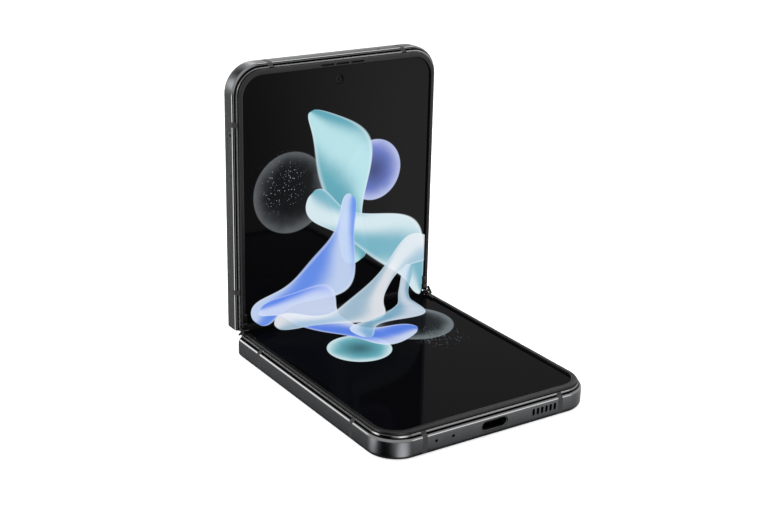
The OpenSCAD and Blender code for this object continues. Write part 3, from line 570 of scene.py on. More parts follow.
def coilFinish():
    # Copper wire laid in rings about the coil's middle: a sine of the distance from it; its low part is dark
    # brown, painted shade in the grooves between turns.
    material, tree, shader = newMaterial("woundCopper", Metallic=1.0, Roughness=0.3)
    low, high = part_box("charging_coil")
    spot = get(tree, "TexCoord", "Object")
    x, y, _ = splitUp(get(tree, "Mapping", Vector=spot, Location=-(low + high) / 2))
    reach = maths("SQRT", x ** 2.0 + y ** 2.0)
    wire = ramp(maths("SINE", reach * (2 * math.pi / 0.0006)), -0.9, 0.2)
    # the dark brown is painted shade between the turns
    feed(shader["Base Color"], blendColour(wire, linear(70, 34, 16), linear(214, 130, 84)))
    raiseBy(shader, wire, 0.6, 0.0001)
    return material


def lensFinish():
    # Near-black glass whose coating turns from violet at the middle to teal at grazing angles.
    material, tree, shader = newMaterial("lensBlack", Roughness=0.05, Coat_Weight=1.0, Coat_Roughness=0.02)
    facing = get(tree, "LayerWeight", "Facing", Blend=0.4)
    feed(shader["Base Color"], blendColour(facing, linear(30, 18, 52), linear(14, 40, 48)))
    return material


# the picture on the display: ribbons, discs and dust on black, on the film map in mm
picture = {
    "discs": [   # centre, radius, dark side, light side, cover
        ((-17, 42), 13, linear(22, 25, 28), linear(118, 124, 128), 0.55),
        ((16, -19), 13, linear(40, 48, 54), linear(150, 162, 168), 0.5),
        ((13, 45), 10, linear(120, 140, 226), linear(196, 206, 246), 0.85),
        ((-9, -27), 10, linear(112, 190, 206), linear(214, 238, 242), 0.9),
    ],
    "ribbons": [   # centre, angle, length, width, sway, waves, phase, dark side, light side, cover
        ((1, 42), -0.45, 27, 8.0, 5, 2.4, 0.6, linear(96, 168, 184), linear(186, 228, 234), 0.97),
        ((13, 22), -0.7, 29, 7.0, 6, 2.6, 2.6, linear(120, 182, 200), linear(216, 236, 242), 0.95),
        ((-8, 16), 0.75, 25, 7.0, 6, 3.0, 1.2, linear(104, 146, 238), linear(196, 214, 246), 0.92),
        ((-6, -8), -0.9, 26, 7.5, 6, 3.4, 0.2, linear(92, 134, 236), linear(206, 218, 246), 0.9),
        ((9, 3), 1.25, 32, 5.5, 6, 3.8, 2.2, linear(170, 200, 220), linear(236, 240, 246), 0.84),
        ((15, -8), 0.85, 22, 4.2, 5, 3.6, 0.9, linear(132, 182, 208), linear(214, 228, 244), 0.8),
    ],
    "dust": [((-20, 45), 15), ((17, -31), 15)],   # centre and radius of each cloud
    "dustScale": 2.1, "black": linear(2, 2, 3), "ribbonRim": linear(240, 248, 252),
    "speck": linear(186, 200, 210),
    "mirrored": 0.96,   # how much of the picture's light is left out of other things' reflections
}


def makeRibbon():
    # along = y / length; middle = sway sin(waves along + phase); half width = width sqrt(1 - along^4),
    # which swells and narrows with a second, quicker sine.
    tree, take = newGroup("silkRibbon", Film=(0, 0, 0), Centre=(0, 0, 0), Angle=0.0, Length=40.0, Width=6.0,
                          Sway=8.0, Waves=3.0, Phase=0.0)
    away = get(tree, "VectorMath", operation="SUBTRACT", i0=take["Film"], i1=take["Centre"])
    x, y, _ = splitUp(get(tree, "VectorRotate", rotation_type="Z_AXIS", Vector=away, Angle=take["Angle"]))
    along = y / take["Length"]
    middle = maths("SINE", along * take["Waves"] + take["Phase"]) * take["Sway"]
    swell = maths("SINE", along * (take["Waves"] * 1.7) + take["Phase"]) * 0.35 + 1.0
    taper = maths("SQRT", maths("MAXIMUM", 1.0 - along ** 4.0, 0.0001))
    across = (x - middle) / maths("MAXIMUM", taper * swell * take["Width"], 0.01)
    inside = ramp(abs(across), 0.93, 1.0, 1.0, 0.0)
    within = ramp(abs(along), 0.985, 1.0, 1.0, 0.0)
    return finishGroup(tree, Mask=inside * within, Across=across, Along=along)


def makeDisc():
    # The distance from the centre over the radius gives the mask and the rim.
    tree, take = newGroup("softDisc", Film=(0, 0, 0), Centre=(0, 0, 0), Radius=10.0)
    distance = get(tree, "VectorMath", "Value", operation="DISTANCE", i0=take["Film"], i1=take["Centre"])
    reach = distance / take["Radius"]
    return finishGroup(tree, Mask=ramp(reach, 0.97, 1.0, 1.0, 0.0), Reach=reach)


def displayFinish():
    # The picture laid over black: each disc, ribbon and speck by its mask times its cover.
    material, tree, shader = newMaterial("displayFilm", Roughness=0.06, IOR=1.25, Emission_Strength=1.0)
    spot = get(tree, "UVMap", uv_map="film")
    fine = get(tree, "TexNoise", Vector=spot, Scale=0.09, Detail=3.0)
    colour = picture["black"]
    ribbon, disc = makeRibbon(), makeDisc()

    def drawn(group, centre, **values):
        # The outputs of one disc or ribbon.
        node = add(tree, "Group", node_tree=group, Film=spot, Centre=centre + (0,), **values)
        return [Value(socket) for socket in node.outputs]

    for centre, radius, dark, light, cover in picture["discs"]:
        mask, reach = drawn(disc, centre, Radius=radius)
        shade = blendColour(ramp(reach ** 3.0 + (fine - 0.5), 0.1, 1.0), dark, light)
        colour = blendColour(mask * (ramp(reach, 0.0, 1.0, 0.35, 1.0) * cover), colour, shade)
    for centre, angle, length, width, sway, waves, phase, dark, light, cover in picture["ribbons"]:
        mask, across, along = drawn(ribbon, centre, Angle=angle, Length=length, Width=width, Sway=sway,
                                    Waves=waves, Phase=phase)
        fold = maths("SINE", across * 2.2 + along * 3.5)
        shade = blendColour(ramp(fold + fine * 0.6, -0.8, 1.3), dark, light)
        shade = blendColour(ramp(abs(across), 0.8, 0.97) * 0.45, shade, picture["ribbonRim"])
        colour = blendColour(mask * cover, colour, shade)
    for centre, radius in picture["dust"]:
        _, reach = drawn(disc, centre, Radius=radius)
        specks = add(tree, "TexVoronoi", Vector=spot, Scale=picture["dustScale"], Randomness=1.0).outputs
        chance = get(tree, "SeparateColor", Color=specks["Color"])
        size = (chance - 0.3) * ramp(reach, 0.1, 1.0, 0.5, 0.0)   # the largest specks lie near the middle
        glow = maths("LESS_THAN", Value(specks["Distance"]), size) * 0.7
        colour = blendColour(glow, colour, picture["speck"])
    mirrored = get(tree, "LightPath", "Is Glossy Ray") * picture["mirrored"]
    feed(shader["Emission Color"], blendColour(mirrored, colour, (0, 0, 0, 1)))
    feed(shader["Specular IOR Level"], ramp(abs(splitUp(spot)[1]), 2.0, 7.0, 0.15, 0.5))   # less by the fold
    feed(shader["Base Color"], linear(3, 3, 4))
    return material


meshMetal, circuitBoard, woundCopper, lensBlack = wovenFinish(), circuitFinish(), coilFinish(), lensFinish()
displayFilm = displayFinish()
print("materials made")

# frames: one skin for both halves
frameDetail = {
    "breakW": 1.6, "breakX": 23.3, "breakVs": (12.7, 65.2), "breakSink": 0.02, "arcSteps": 7, "lipIn": 1.0,
    "cavityTop": 5.0, "bulge": 0.12, "lipRise": -0.05,
    "edge": [   # length and the normal's turn: the chamfer, a step whose band is painted near-black as shade, and the raised lip beside the bezel
        (0.25, 0, 18), (0.5, 18, 42), (0.12, 42, 60), (0.55, 60, 50), (0.5, 0, 3), (0.12, 3, 90),
        (0.26, 90, 90),
    ],
    "shadeBandTop": -0.615, "shadeBandLow": -0.93, "chamferLow": -1.5,   # heights from the display plane; between the first two heights the metal is painted near-black, painted shade of the gap beside the bezel
}


def displayEdge(depth, sink):
    # The line from the side to the rim as the running sum of length x (sin turn, cos turn), set in by sink.
    runs = [np.stack([np.full(6, length / 6), np.radians(np.linspace(a, b, 6))], 1)
            for length, a, b in frameDetail["edge"]]
    step, turn = np.concatenate(runs).T
    line = np.cumsum(np.stack([step * np.sin(turn), step * np.cos(turn)], 1), 0)
    line[:, 0] *= depth / line[-1, 0]
    line[:, 1] += thick + frameDetail["lipRise"] - line[-1, 1]
    return line + sink * np.stack([np.cos(turn), -np.sin(turn)], 1)


def crowned(section):
    # The outer face is slightly round: each point moves in by bulge x (height from the middle / half)^2.
    t = thick / 2
    rise = ((section[:, 1] - t) / t) ** 2
    shift = frameDetail["bulge"] * rise * np.clip(1 - section[:, 0] / half["backRound"], 0, 1)
    return np.stack([section[:, 0] + shift, section[:, 1]], 1)


def frameProfile(outer, depth, sink=0.0):
    # The wall's section as (distance in, w): back rounding, crowned side, display edge, then the way back.
    b, r, under = half["backRound"], half["rimBevel"], thick - half["panel"]
    back = arcPoints((b, b), b - sink, 270, 180, frameDetail["arcSteps"])
    front = displayEdge(depth - r, sink)
    heights = np.linspace(b, front[0, 1], 12)[1:-1]
    skin = crowned(np.concatenate([back, np.stack([np.full(10, sink), heights], 1), front]))
    top = [(depth, thick + frameDetail["lipRise"] - sink - r)]
    low = [(depth, sink + r), (depth - r, sink)]
    seat = [(depth, under), (outer, under), (outer, half["glass"]), (depth, half["glass"])]
    return np.concatenate([skin, top, seat, low] if outer else [skin, top, low])


def carry(profile, line, inward):
    # Each station of the line takes the profile: point = station + inward normal x distance, at height w.
    flat = line[:, None, :] + inward[:, None, :] * profile[None, :, :1]
    height = np.broadcast_to(profile[None, :, 1:], flat.shape[:2] + (1,))
    return loft(np.concatenate([flat, height], -1))


def breakBoxes():
    # The six openings in the wall that the antenna breaks fill.
    w, t, rim = frameDetail["breakW"] / 2, thick, half["rim"]
    found = []
    for v in frameDetail["breakVs"]:
        found.append(box((-hx - 1, v - w, -1), (rim - hx, v + w, t + 1)))
        found.append(box((hx - rim, v - w, -1), (hx + 1, v + w, t + 1)))
    for x in (-frameDetail["breakX"], frameDetail["breakX"]):
        found.append(box((x - w, half["far"] - rim, -1), (x + w, half["far"] + 1, t + 1)))
    return found


def hingeEndRound():
    # The prism that rounds the frame's back corner at the hinge: a square less a quarter circle.
    r, v = half["backRound"], half["start"]
    arc = arcPoints((v + r, r), r, 270, 180, 7)
    return acrossX(np.concatenate([[[v - 1, r], [v - 1, -1], [v + r, -1]], arc]), (-40, 40))


def framePolishAndShade(p):
    # The lip and the chamfer shine (1), and the step between them is painted near-black (2), painted shade of
    # the gap beside the bezel.
    h = p[:, 2] - thick
    lower = h > frameDetail["chamferLow"]
    return np.where(h > frameDetail["shadeBandTop"], 1, np.where(h > frameDetail["shadeBandLow"], 2, lower))


def buildFrame(name, place, body, holes):
    # The wall carried round the edge, the lip under the hinge side and the cavity's wall, less all openings.
    line, inward = sidePath(half["start"])
    skin = carry(frameProfile(half["wall"], half["rim"]), line, inward)
    lipX = innerX + frameDetail["lipIn"]
    lip = box((-lipX, half["start"], 0), (lipX, half["lipEnd"], half["glass"]))
    cavity = box((-innerX - 0.1, half["cavityV"], half["glass"]),
                 (innerX + 0.1, half["cavityV"] + half["cavityWall"], frameDetail["cavityTop"]))
    makePiece(name, skin, place, body, graphiteMetal, 28, breakBoxes() + [hingeEndRound()] + holes,
              framePolishAndShade, adds=[lip, cavity])


def buildBreaks(name, place, body):
    # Short runs of the wall's own section, sunk by a hair and 0.01 mm narrower than their openings.
    w = frameDetail["breakW"] / 2 - 0.01
    profile = frameProfile(0, half["rim"], frameDetail["breakSink"])
    runs = []
    for v in frameDetail["breakVs"]:
        for side in (-1, 1):
            line = np.array([[side * hx, v - w], [side * hx, v + w]])
            runs.append(carry(profile, line, np.array([[-side, 0.0]] * 2)))
    for x in (-frameDetail["breakX"], frameDetail["breakX"]):
        line = np.array([[x - w, half["far"]], [x + w, half["far"]]])
        runs.append(carry(profile, line, np.array([[0.0, -1]] * 2)))
    makePiece(name, joined(runs), place, body, antennaPlastic)


keys = {
    "volume_key": {"v": 54.4, "length": 17.0, "proud": 0.35, "body": "volume_button"},
    "side_key": {"v": 34.6, "length": 13.0, "proud": 0.12, "body": "side_button"},
    "height": 2.4, "w": 3.45, "gap": 0.08, "flange": 0.55, "flangeRim": 0.5, "edge": 0.22,
}
tray = {
    "v": 56.2, "length": 14.0, "height": 2.4, "w": 4.0, "front": 1.6, "inset": 1.0, "depth": 17.0,
    "thick": 0.8, "cardW": 9.0, "near": 1.3, "ejectV": 61.8, "ejectW": 4.35, "ejectR": 0.45,
    "ejectDepth": 1.3, "edge": 0.1,
}
port = {
    "w": 3.4, "usbW": 8.94, "usbH": 3.16, "wall": 0.3, "length": 7.05, "set": 0.15, "clear": 0.05,
    "tongue": (6.7, 4.6, 0.7), "contacts": 12, "contactPitch": 0.5, "contactW": 0.28,
}
slots = {
    "count": 6, "pitch": 1.53, "x": 17.5, "width": 0.8, "height": 2.1, "rim": 0.8, "mesh": 0.25,
    "mics": (-19.6, -14.0), "topMic": 15.3, "topMicW": 4.5, "micR": 0.45,
}


def slotShape(x):
    # A speaker slot: the pill shape stood on its end.
    return lambda i: pillShape((port["w"], x), slots["height"], slots["width"], i)[:, ::-1]


farHole = (farOrder, half["far"], farInner - 1)   # along v, from outside the far wall to behind it
upperHoles = [pillPlug((key["v"], keys["w"]), key["length"], keys["height"], keys["gap"], sideOrder,
                       hx, innerX - 1)
              for key in (keys["volume_key"], keys["side_key"])]
upperHoles.append(pillPlug((tray["v"], tray["w"]), tray["length"], tray["height"], keys["gap"],
                           sideOrder, -hx, 1 - innerX, 0.06))
upperHoles.append(roundPlug((slots["topMic"], slots["topMicW"]), slots["micR"], *farHole, 0.06))
slotXs = [slots["x"] + (i - (slots["count"] - 1) / 2) * slots["pitch"] for i in range(slots["count"])]
lowerHoles = [plug(slotShape(x), *farHole, 0.06) for x in slotXs]
lowerHoles += [roundPlug((x, port["w"]), slots["micR"], *farHole, 0.06) for x in slots["mics"]]
lowerHoles.append(pillPlug((0, port["w"]), port["usbW"], port["usbH"], port["clear"], *farHole, 0.05))
halves = (("upper", toUpper, upperHoles), ("lower", toLower, lowerHoles))
for side, place, holes in halves:
    buildFrame(side + "_frame", place, side + "_half", holes)
for side, place, holes in halves:
    buildBreaks(side + "_antenna_breaks", place, side + "_half")
print("frames made")


# keys, card tray and port
def buildKey(name):
    # A key's head with a rounded outer edge, and the wider flange behind the wall.
    key, rim = keys[name], keys["flangeRim"]
    face, root = hx + key["proud"], innerX - 0.1
    head = levels(lambda i: pillShape((key["v"], keys["w"]), key["length"], keys["height"], i),
                  [(0, root)] + roundEdge(keys["edge"], face, 1))
    behind = root - keys["flange"]
    wide, high = key["length"] + 2 * rim, keys["height"] + 2 * rim
    flange = levels(lambda i: pillShape((key["v"], keys["w"]), wide, high, i),
                    [(0.05, behind), (0, behind + 0.05), (0, root - 0.05), (0.05, root)])
    makePiece(name, swap(joined([head, flange]), sideOrder), toUpper, key["body"], graphiteMetal, 28,
              mask=lambda p: p[:, 0] > face - keys["edge"] * 0.9)


def buildTray():
    # The tray's front with its eject hole, and the drawer behind it with the card's opening.
    face, v, w = -hx, tray["v"], tray["w"]
    front = swap(levels(lambda i: pillShape((v, w), tray["length"], tray["height"], i),
                        roundEdge(tray["edge"], face, -1, 3)[::-1] + [(0, face + tray["front"])]), sideOrder)
    p = front[0]
    p[:, 0] += frameDetail["bulge"] * (p[:, 2] / thick * 2 - 1) ** 2 * (p[:, 0] < face + 0.5)
    arm = tray["length"] / 2 - tray["inset"]
    drawer = softBlock((face + tray["front"] - 0.1, v - arm, w - tray["thick"] / 2),
                       (face + tray["depth"], v + arm, w + tray["thick"] / 2), 0.08, 0.8)
    hole = roundPlug((tray["ejectV"], tray["ejectW"]), tray["ejectR"], sideOrder, face,
                     face + tray["ejectDepth"], 0.05)
    card = box((face + tray["front"] + tray["near"], v - tray["cardW"] / 2, w - 1),
               (face + tray["depth"] - tray["near"], v + tray["cardW"] / 2, w + 1))
    makePiece("card_tray", front, toUpper, "card_drawer", graphiteMetal, 28, [hole, card],
              mask=lambda p: p[:, 0] < face - 1, adds=[drawer])


def buildPort():
    # A hollow pill-shaped shell, the tongue in its middle and two rows of contacts on it.
    outer = half["far"] - port["set"]
    back, wall = outer - port["length"], port["wall"]
    shell = levels(lambda i: pillShape((0, port["w"]), port["usbW"], port["usbH"], i),
                   [(0.1, back), (0, back + 0.1), (0, outer - 0.08), (0.08, outer)])
    room = levels(lambda i: pillShape((0, port["w"]), port["usbW"] - 2 * wall, port["usbH"] - 2 * wall, i),
                  [(0, back + wall), (0, outer - 0.1), (-0.1, outer), (-0.1, outer + 1)])
    makePiece("usb_shell", swap(shell, farOrder), toLower, "lower_half", portMetal, 30,
              [swap(room, farOrder)])
    wide, deep, high = port["tongue"]
    foot = back + wall
    tongue = softBlock((-wide / 2, foot, port["w"] - high / 2),
                       (wide / 2, foot + deep, port["w"] + high / 2), 0.12, 0.5)
    makePiece("usb_tongue", tongue, toLower, "lower_half", cameraBlack, 30)
    pads = []
    for i in range(port["contacts"]):
        x = (i - (port["contacts"] - 1) / 2) * port["contactPitch"]
        for side in (-1, 1):
            w = port["w"] + side * high / 2
            pads.append(softBlock((x - port["contactW"] / 2, foot + 0.6, w - 0.03),
                                  (x + port["contactW"] / 2, foot + deep - 0.35, w + 0.03), 0.015, 0.05))
    makePiece("usb_contacts", joined(pads), toLower, "lower_half", goldPlate, 30)


def buildMesh(name, shapes, place, body, order, low, high):
    # A thin woven-wire insert in each opening.
    steps = [(0.02, low), (0, low + 0.03), (0, high - 0.03), (0.02, high)]
    makePiece(name, joined([swap(levels(shape, steps), order) for shape in shapes]), place, body, meshMetal)


buildKey("volume_key")
buildKey("side_key")
buildTray()
buildPort()
meshX = ((slots["count"] - 1) * slots["pitch"] + slots["width"]) / 2 + slots["rim"]
meshW = slots["height"] / 2 + slots["rim"] / 2
buildMesh("speaker_mesh", [lambda i: roundRect((slots["x"] - meshX, port["w"] - meshW),
                                               (slots["x"] + meshX, port["w"] + meshW), 0.4, i)],
          toLower, "lower_half", farOrder, farInner - slots["mesh"], farInner)
print("keys, tray and port made")

# bezels and their ends
bezel = {
    "side": 1.25, "far": 1.7, "height": 0.75, "start": 5.75, "round": 0.24, "endGap": 0.05,
    "endStart": 0.85, "endMore": 0.55, "endRound": 0.18, "earLen": 4.5, "earW": 0.58, "earPitch": 5.3,
    "earMid": 0.55, "earSet": 0.85, "earLow": 0.1,
}
bezelTop = thick + bezel["height"]


def bezelShell():
    # Points between the outer and the inner line: outer + (inner - outer) share + offset across, at height w.
    out, _ = sidePath(bezel["start"], half["inset"])
    inn, _ = sidePath(bezel["start"], half["inset"] + bezel["side"], half["inset"] + bezel["far"])
    across = inn - out
    across /= np.linalg.norm(across, axis=1)[:, None]
    r = bezel["round"]
    a = np.linspace(0, math.pi / 2, 6)
    outer = [(0, r * (1 - math.cos(t)), bezelTop - r * (1 - math.sin(t))) for t in a]
    inner = [(1, -r * (1 - math.cos(t)), bezelTop - r * (1 - math.sin(t))) for t in a[::-1]]
    section = np.array([(0, 0, thick)] + outer + inner + [(1, 0, thick)], float)
    share, offset, w = (section[None, :, k:k + 1] for k in range(3))
    flat = out[:, None] + (inn - out)[:, None] * share + across[:, None] * offset
    return loft(np.concatenate([flat, np.broadcast_to(w, flat.shape[:2] + (1,))], -1))


def earShape(k, grow=0.0):
    # The earpiece slot k, larger by grow all round.
    centre = (bezel["earMid"] + k * bezel["earPitch"], half["far"] - half["inset"] - bezel["earSet"])
    return lambda i: pillShape(centre, bezel["earLen"] + 2 * grow, bezel["earW"] + 2 * grow, i)


def buildBezelEnds(name, place, body):
    # Two rubber stops at the fold on each side: a raised block and a lower foot beside the axis.
    x0, x1 = hx - half["inset"] - bezel["side"] - bezel["endMore"], hx - half["inset"]
    blocks = [softBlock((x0, half["panelV"], thick), (x1, bezel["start"] - bezel["endGap"], bezelTop),
                        bezel["endRound"], 0.25),
              softBlock((x0, bezel["endStart"], thick - half["panel"]), (x1, half["panelV"], bezelTop),
                        bezel["endRound"], 0.25)]
    makePiece(name, bothSides(blocks), place, body, glossBlack, 40)


ears = (-1, 0, 1)
earCuts = [levels(earShape(k), [(0, thick - 1), (0, bezelTop + 1)]) for k in ears]
for side, place, cutters in (("upper", toUpper, earCuts), ("lower", toLower, ())):
    makePiece(side + "_bezel", bezelShell(), place, side + "_half", bezelPlastic, 30, cutters)
for side, place, _ in halves:
    buildBezelEnds(side + "_bezel_ends", place, side + "_half")
meshLow = thick + bezel["earLow"]
buildMesh("earpiece_mesh", [earShape(k, -0.02) for k in ears], toUpper, "upper_half", (0, 1, 2),
          meshLow, meshLow + slots["mesh"])
print("bezels made")

# the folding display: two flat panels and two strips across the fold
bendFactor = foldAngle / math.sin(foldAngle)
bendReach = axisHalf * (bendFactor - 1) / (1 - bendFactor * math.cos(foldAngle))
bendR = (axisHalf + bendReach * math.cos(foldAngle)) / math.sin(foldAngle)
bendQ = bendReach * math.sin(foldAngle) + bendR * math.cos(foldAngle)
film = {
    "edge": 0.05, "steps": 40, "halfX": spineX - 0.83, "selfieSet": 7.2, "selfieR": 1.5,
    "blend": (2.4, 0.2),   # two distances from the fold
}
foldStrip = {
    "depth": 0, "thick": half["panel"], "reach": half["panelV"], "spans": [(-film["halfX"], film["halfX"])],
}
flexLow, flexHigh = (np.array(corner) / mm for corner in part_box("flex_cables"))
flexStrip = {
    "depth": 1.23, "thick": 0.12, "reach": lowerAxis[1] + axisHalf - flexLow[1],
    "spans": [(flexLow[0], -2), (2, flexHigh[0])],
}
selfieV = half["far"] - film["selfieSet"]


def buildDisplay(name, place, body, sign, cutters=()):
    # A flat panel; its film map holds (x, distance from the fold), negative on the lower half.
    rows = [(0, thick - half["panel"]), (0, thick - film["edge"]), (film["edge"], thick)]
    plate = levels(lambda i: halfShape(half["panelV"], half["inset"] + i), rows)
    makePiece(name, plate, place, body, displayFilm, 30, cutters,
              film=lambda p: np.stack([p[:, 0], sign * p[:, 1]], 1))


def bendLine(depth, reach):
    # From the middle of the fold out to reach: an arc of the bend radius, then a straight run.
    a = np.linspace(0, foldAngle, film["steps"] + 1)
    arc = np.stack([(bendR + depth) * np.sin(a), bendQ - (bendR + depth) * np.cos(a)], 1)
    along = np.array([math.cos(foldAngle), math.sin(foldAngle)])
    inwards = np.array([math.sin(foldAngle), -math.cos(foldAngle)])
    return np.concatenate([arc, [np.array([axisHalf, 0]) + (reach - axisHalf) * along + depth * inwards]])


def bendDistance(p, sign):
    # Distance along the film from the fold: radius x angle on the arc, then the straight distance.
    p1 = sign * p[:, 1]
    angle = np.arctan2(p1, bendQ - p[:, 2])
    straight = (p1 - axisHalf) * math.cos(foldAngle) + p[:, 2] * math.sin(foldAngle) - bendReach
    past = np.where(angle > foldAngle - 0.01, np.maximum(straight, 0), 0)
    return sign * (bendR * np.minimum(angle, foldAngle) + past)


def buildBentStrip(node, side, sign, strip, material):
    # One side of a strip across the fold, drawn in the spine's place as an arc about the fold that runs
    # straight on towards its half.
    name, body = node + "_" + side, side + "_half"
    section = np.concatenate([bendLine(strip["depth"], strip["reach"]),
                              bendLine(strip["depth"] + strip["thick"], strip["reach"])[::-1]]) * (sign, 1)
    part = joined([acrossX(section, span) for span in strip["spans"]])
    piece = makePiece(name, part, toSpine, None, material, 30,
                      film=lambda p: np.stack([p[:, 0], bendDistance(p, sign)], 1), node=node)
    if sign < 0:
        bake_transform(piece)
    else:
        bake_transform(piece)


selfieHole = roundHole((0, selfieV), film["selfieR"], 5, thick + 1)
buildDisplay("upper_display", toUpper, "upper_half", 1, [selfieHole])
buildDisplay("lower_display", toLower, "lower_half", -1)
for sign, side in ((-1, "lower"), (1, "upper")):
    buildBentStrip("fold_display", side, sign, foldStrip, displayFilm)
    buildBentStrip("flex_cables", side, sign, flexStrip, flexFilm)

selfie = {"body": 2.3, "low": 3.7, "step": 6.0, "flat": 6.86, "iris": 0.95, "dome": 0.62,
          "sink": 0.06, "rise": 0.04}


def buildFrontCamera():
    # A black window flush with the display, a sunk iris and a small lens dome in its middle.
    r, flat, sunk = film["selfieR"] - 0.05, selfie["flat"], selfie["flat"] - selfie["sink"]
    a = np.linspace(0, math.pi / 2, 7)[:-1]
    dome = [(selfie["dome"] * math.cos(t), sunk + selfie["rise"] * math.sin(t)) for t in a]
    outline = [(0.02, selfie["low"]), (selfie["body"], selfie["low"]), (selfie["body"], selfie["step"]),
               (r, selfie["step"]), (r, flat - 0.03), (r - 0.03, flat), (selfie["iris"], flat),
               (selfie["dome"] + 0.1, sunk)] + dome + [(0.02, flat - 0.02)]
    makePiece("front_camera", lathe(outline, (0, selfieV)), toUpper, "upper_half", pinholeGlass, 40)


buildFrontCamera()
print("display made")

# hinge cover and end caps
spine = {
    "width": 14.6, "depth": 3.95, "drop": 2.0, "wall": 0.6, "endWall": 0.8, "edge": 0.3, "steps": 36,
    "capHalf": 0.4, "capX": 34.65, "capLow": 0.05, "capTop": 0.7, "headFrom": 34.55, "headTo": 35.35,
    "headHalf": 1.45, "headTop": 0.62, "webHalf": 0.17, "webLow": -2.4,
}
archSag = spine["depth"] - spine["drop"]
archR = (spine["width"] ** 2 / 4 + archSag ** 2) / (2 * archSag)
archQ = archR - spine["depth"]


def archShape(inset):
    # The cover's outer arc between its two edges, closed by its open side: radius less inset.
    r = archR - inset
    reach = math.degrees(math.asin((spine["width"] / 2 - inset) / r))
    return arcPoints((0, archQ), r, 270 - reach, 270 + reach, spine["steps"])


def buildHingeCover():
    # The arch carried along x with rounded ends, less a smaller arc for its room.
    e = spine["edge"]
    a = np.linspace(0, math.pi / 2, 5)
    ends = [(e * (1 - math.sin(t)), spineX - e * (1 - math.cos(t))) for t in a]
    shell = levels(archShape, [(i, -x) for i, x in ends] + [(i, x) for i, x in ends[::-1]])
    inner = arcPoints((0, archQ), archR - spine["wall"], 200, 340, 60)
    reach = spineX - spine["endWall"]
    room = levels(lambda i: inner, [(0, -reach), (0, reach)])
    makePiece("hinge_cover", swap(shell, sideOrder), toSpine, "spine", hingeMetal, 30,
              [swap(room, sideOrder)])


def buildEndCaps():
    # On each side a round-topped bar over the cover's end, its foot, and a head with a thin web beyond it.
    c, x0, low, top = spine["capHalf"], spineX - spine["endWall"], spine["capLow"], spine["capTop"]
    tip = np.concatenate([[[-c, low], [c, low]], arcPoints((0, top - c), c, 0, 180, 12)])
    shape = lambda i: np.stack([tip[:, 0] * (1 - i / c), np.clip(tip[:, 1], low + i, top - i)], 1)
    end = spine["capX"]
    bar = swap(levels(shape, [(0.08, x0), (0, x0 + 0.08), (0, end - 0.1), (0.1, end)]), sideOrder)
    foot = softBlock((x0, -c, -spine["drop"]), (spineX - 0.02, c, 0.1), 0.08, 0.12)
    head = softBlock((spine["headFrom"], -spine["headHalf"], low),
                     (spine["headTo"], spine["headHalf"], spine["headTop"]), 0.14, 0.3)
    web = softBlock((spineX - 0.1, -spine["webHalf"], spine["webLow"]),
                    (spine["headTo"] - 0.05, spine["webHalf"], 0.2), 0.05, 0.08)
    makePiece("hinge_end_caps", bothSides([bar, foot, head, web]), toSpine, "spine", glossBlack, 40)


buildHingeCover()
buildEndCaps()
print("hinge cover made")

# back glass, cover window, rear cameras and flash
rear = {
    "gap": 0.05, "glassEdge": 0.28, "cameraX": 25.0, "cameraVs": (73.0, 58.8), "ringR": 5.4, "seat": 0.5,
    "proud": 1.0, "lensR": 4.25, "lensT": 0.5, "drop": 0.15, "flash": (17.4, 65.9), "flashR": 1.6,
    "flashLow": 0.02, "flashHigh": 1.17, "ringEdge": 0.28, "cover": (-7.0, 65.9), "coverW": 42.4,
    "coverH": 21.6, "coverT": 0.8, "box": 9.0, "boxLow": 0.95, "boxHigh": 5.6,
    "barrel": [   # radius less the barrel's, and height from its face
        (0, 0), (-0.25, 0), (-0.5, 0.12), (-0.6, 0.12), (-0.75, 0.3), (-0.85, 0.3), (-1.0, 0.48),
        (-1.45, 0.48), (-1.55, 0.75),
    ],
    "barrelR": 3.45, "barrelFace": 0.75, "domeR": 1.86, "domeRise": 0.42,
}


def glassPiece(name, shape, place, body, material, cutters=()):
    # A glass whose outer face is at w 0 with a rounded edge; its inner face is square.
    e = rear["glassEdge"]
    steps = [(e * (1 - math.sin(t)), e * (1 - math.cos(t))) for t in np.linspace(0, math.pi / 2, 5)]
    makePiece(name, levels(shape, steps + [(0, half["glass"])]), place, body, material, 28, cutters)


def windowEdge(inset):
    # The upper back glass: a rectangle from the hinge to the cover window.
    x, low, high = hx - half["inset"] - inset, glassV + inset, half["windowV"] - rear["gap"] - inset
    return np.array([[-x, low], [x, low], [x, high], [-x, high]])


glassV = half["lipEnd"] + rear["gap"]
glassPiece("lower_back_glass", lambda i: halfShape(glassV + i, half["inset"] + i), toLower, "lower_half",
           etchedGlass)
glassPiece("upper_back_glass", windowEdge, toUpper, "upper_half", etchedGlass)
windowHoles = [roundHole((rear["cameraX"], v), rear["ringR"] - rear["seat"]) for v in rear["cameraVs"]]
windowHoles.append(roundHole(rear["flash"], rear["flashR"] + 0.05))
glassPiece("cover_window", lambda i: halfShape(half["windowV"] + i, half["inset"] + i), toUpper, "upper_half",
           windowGlass, windowHoles)


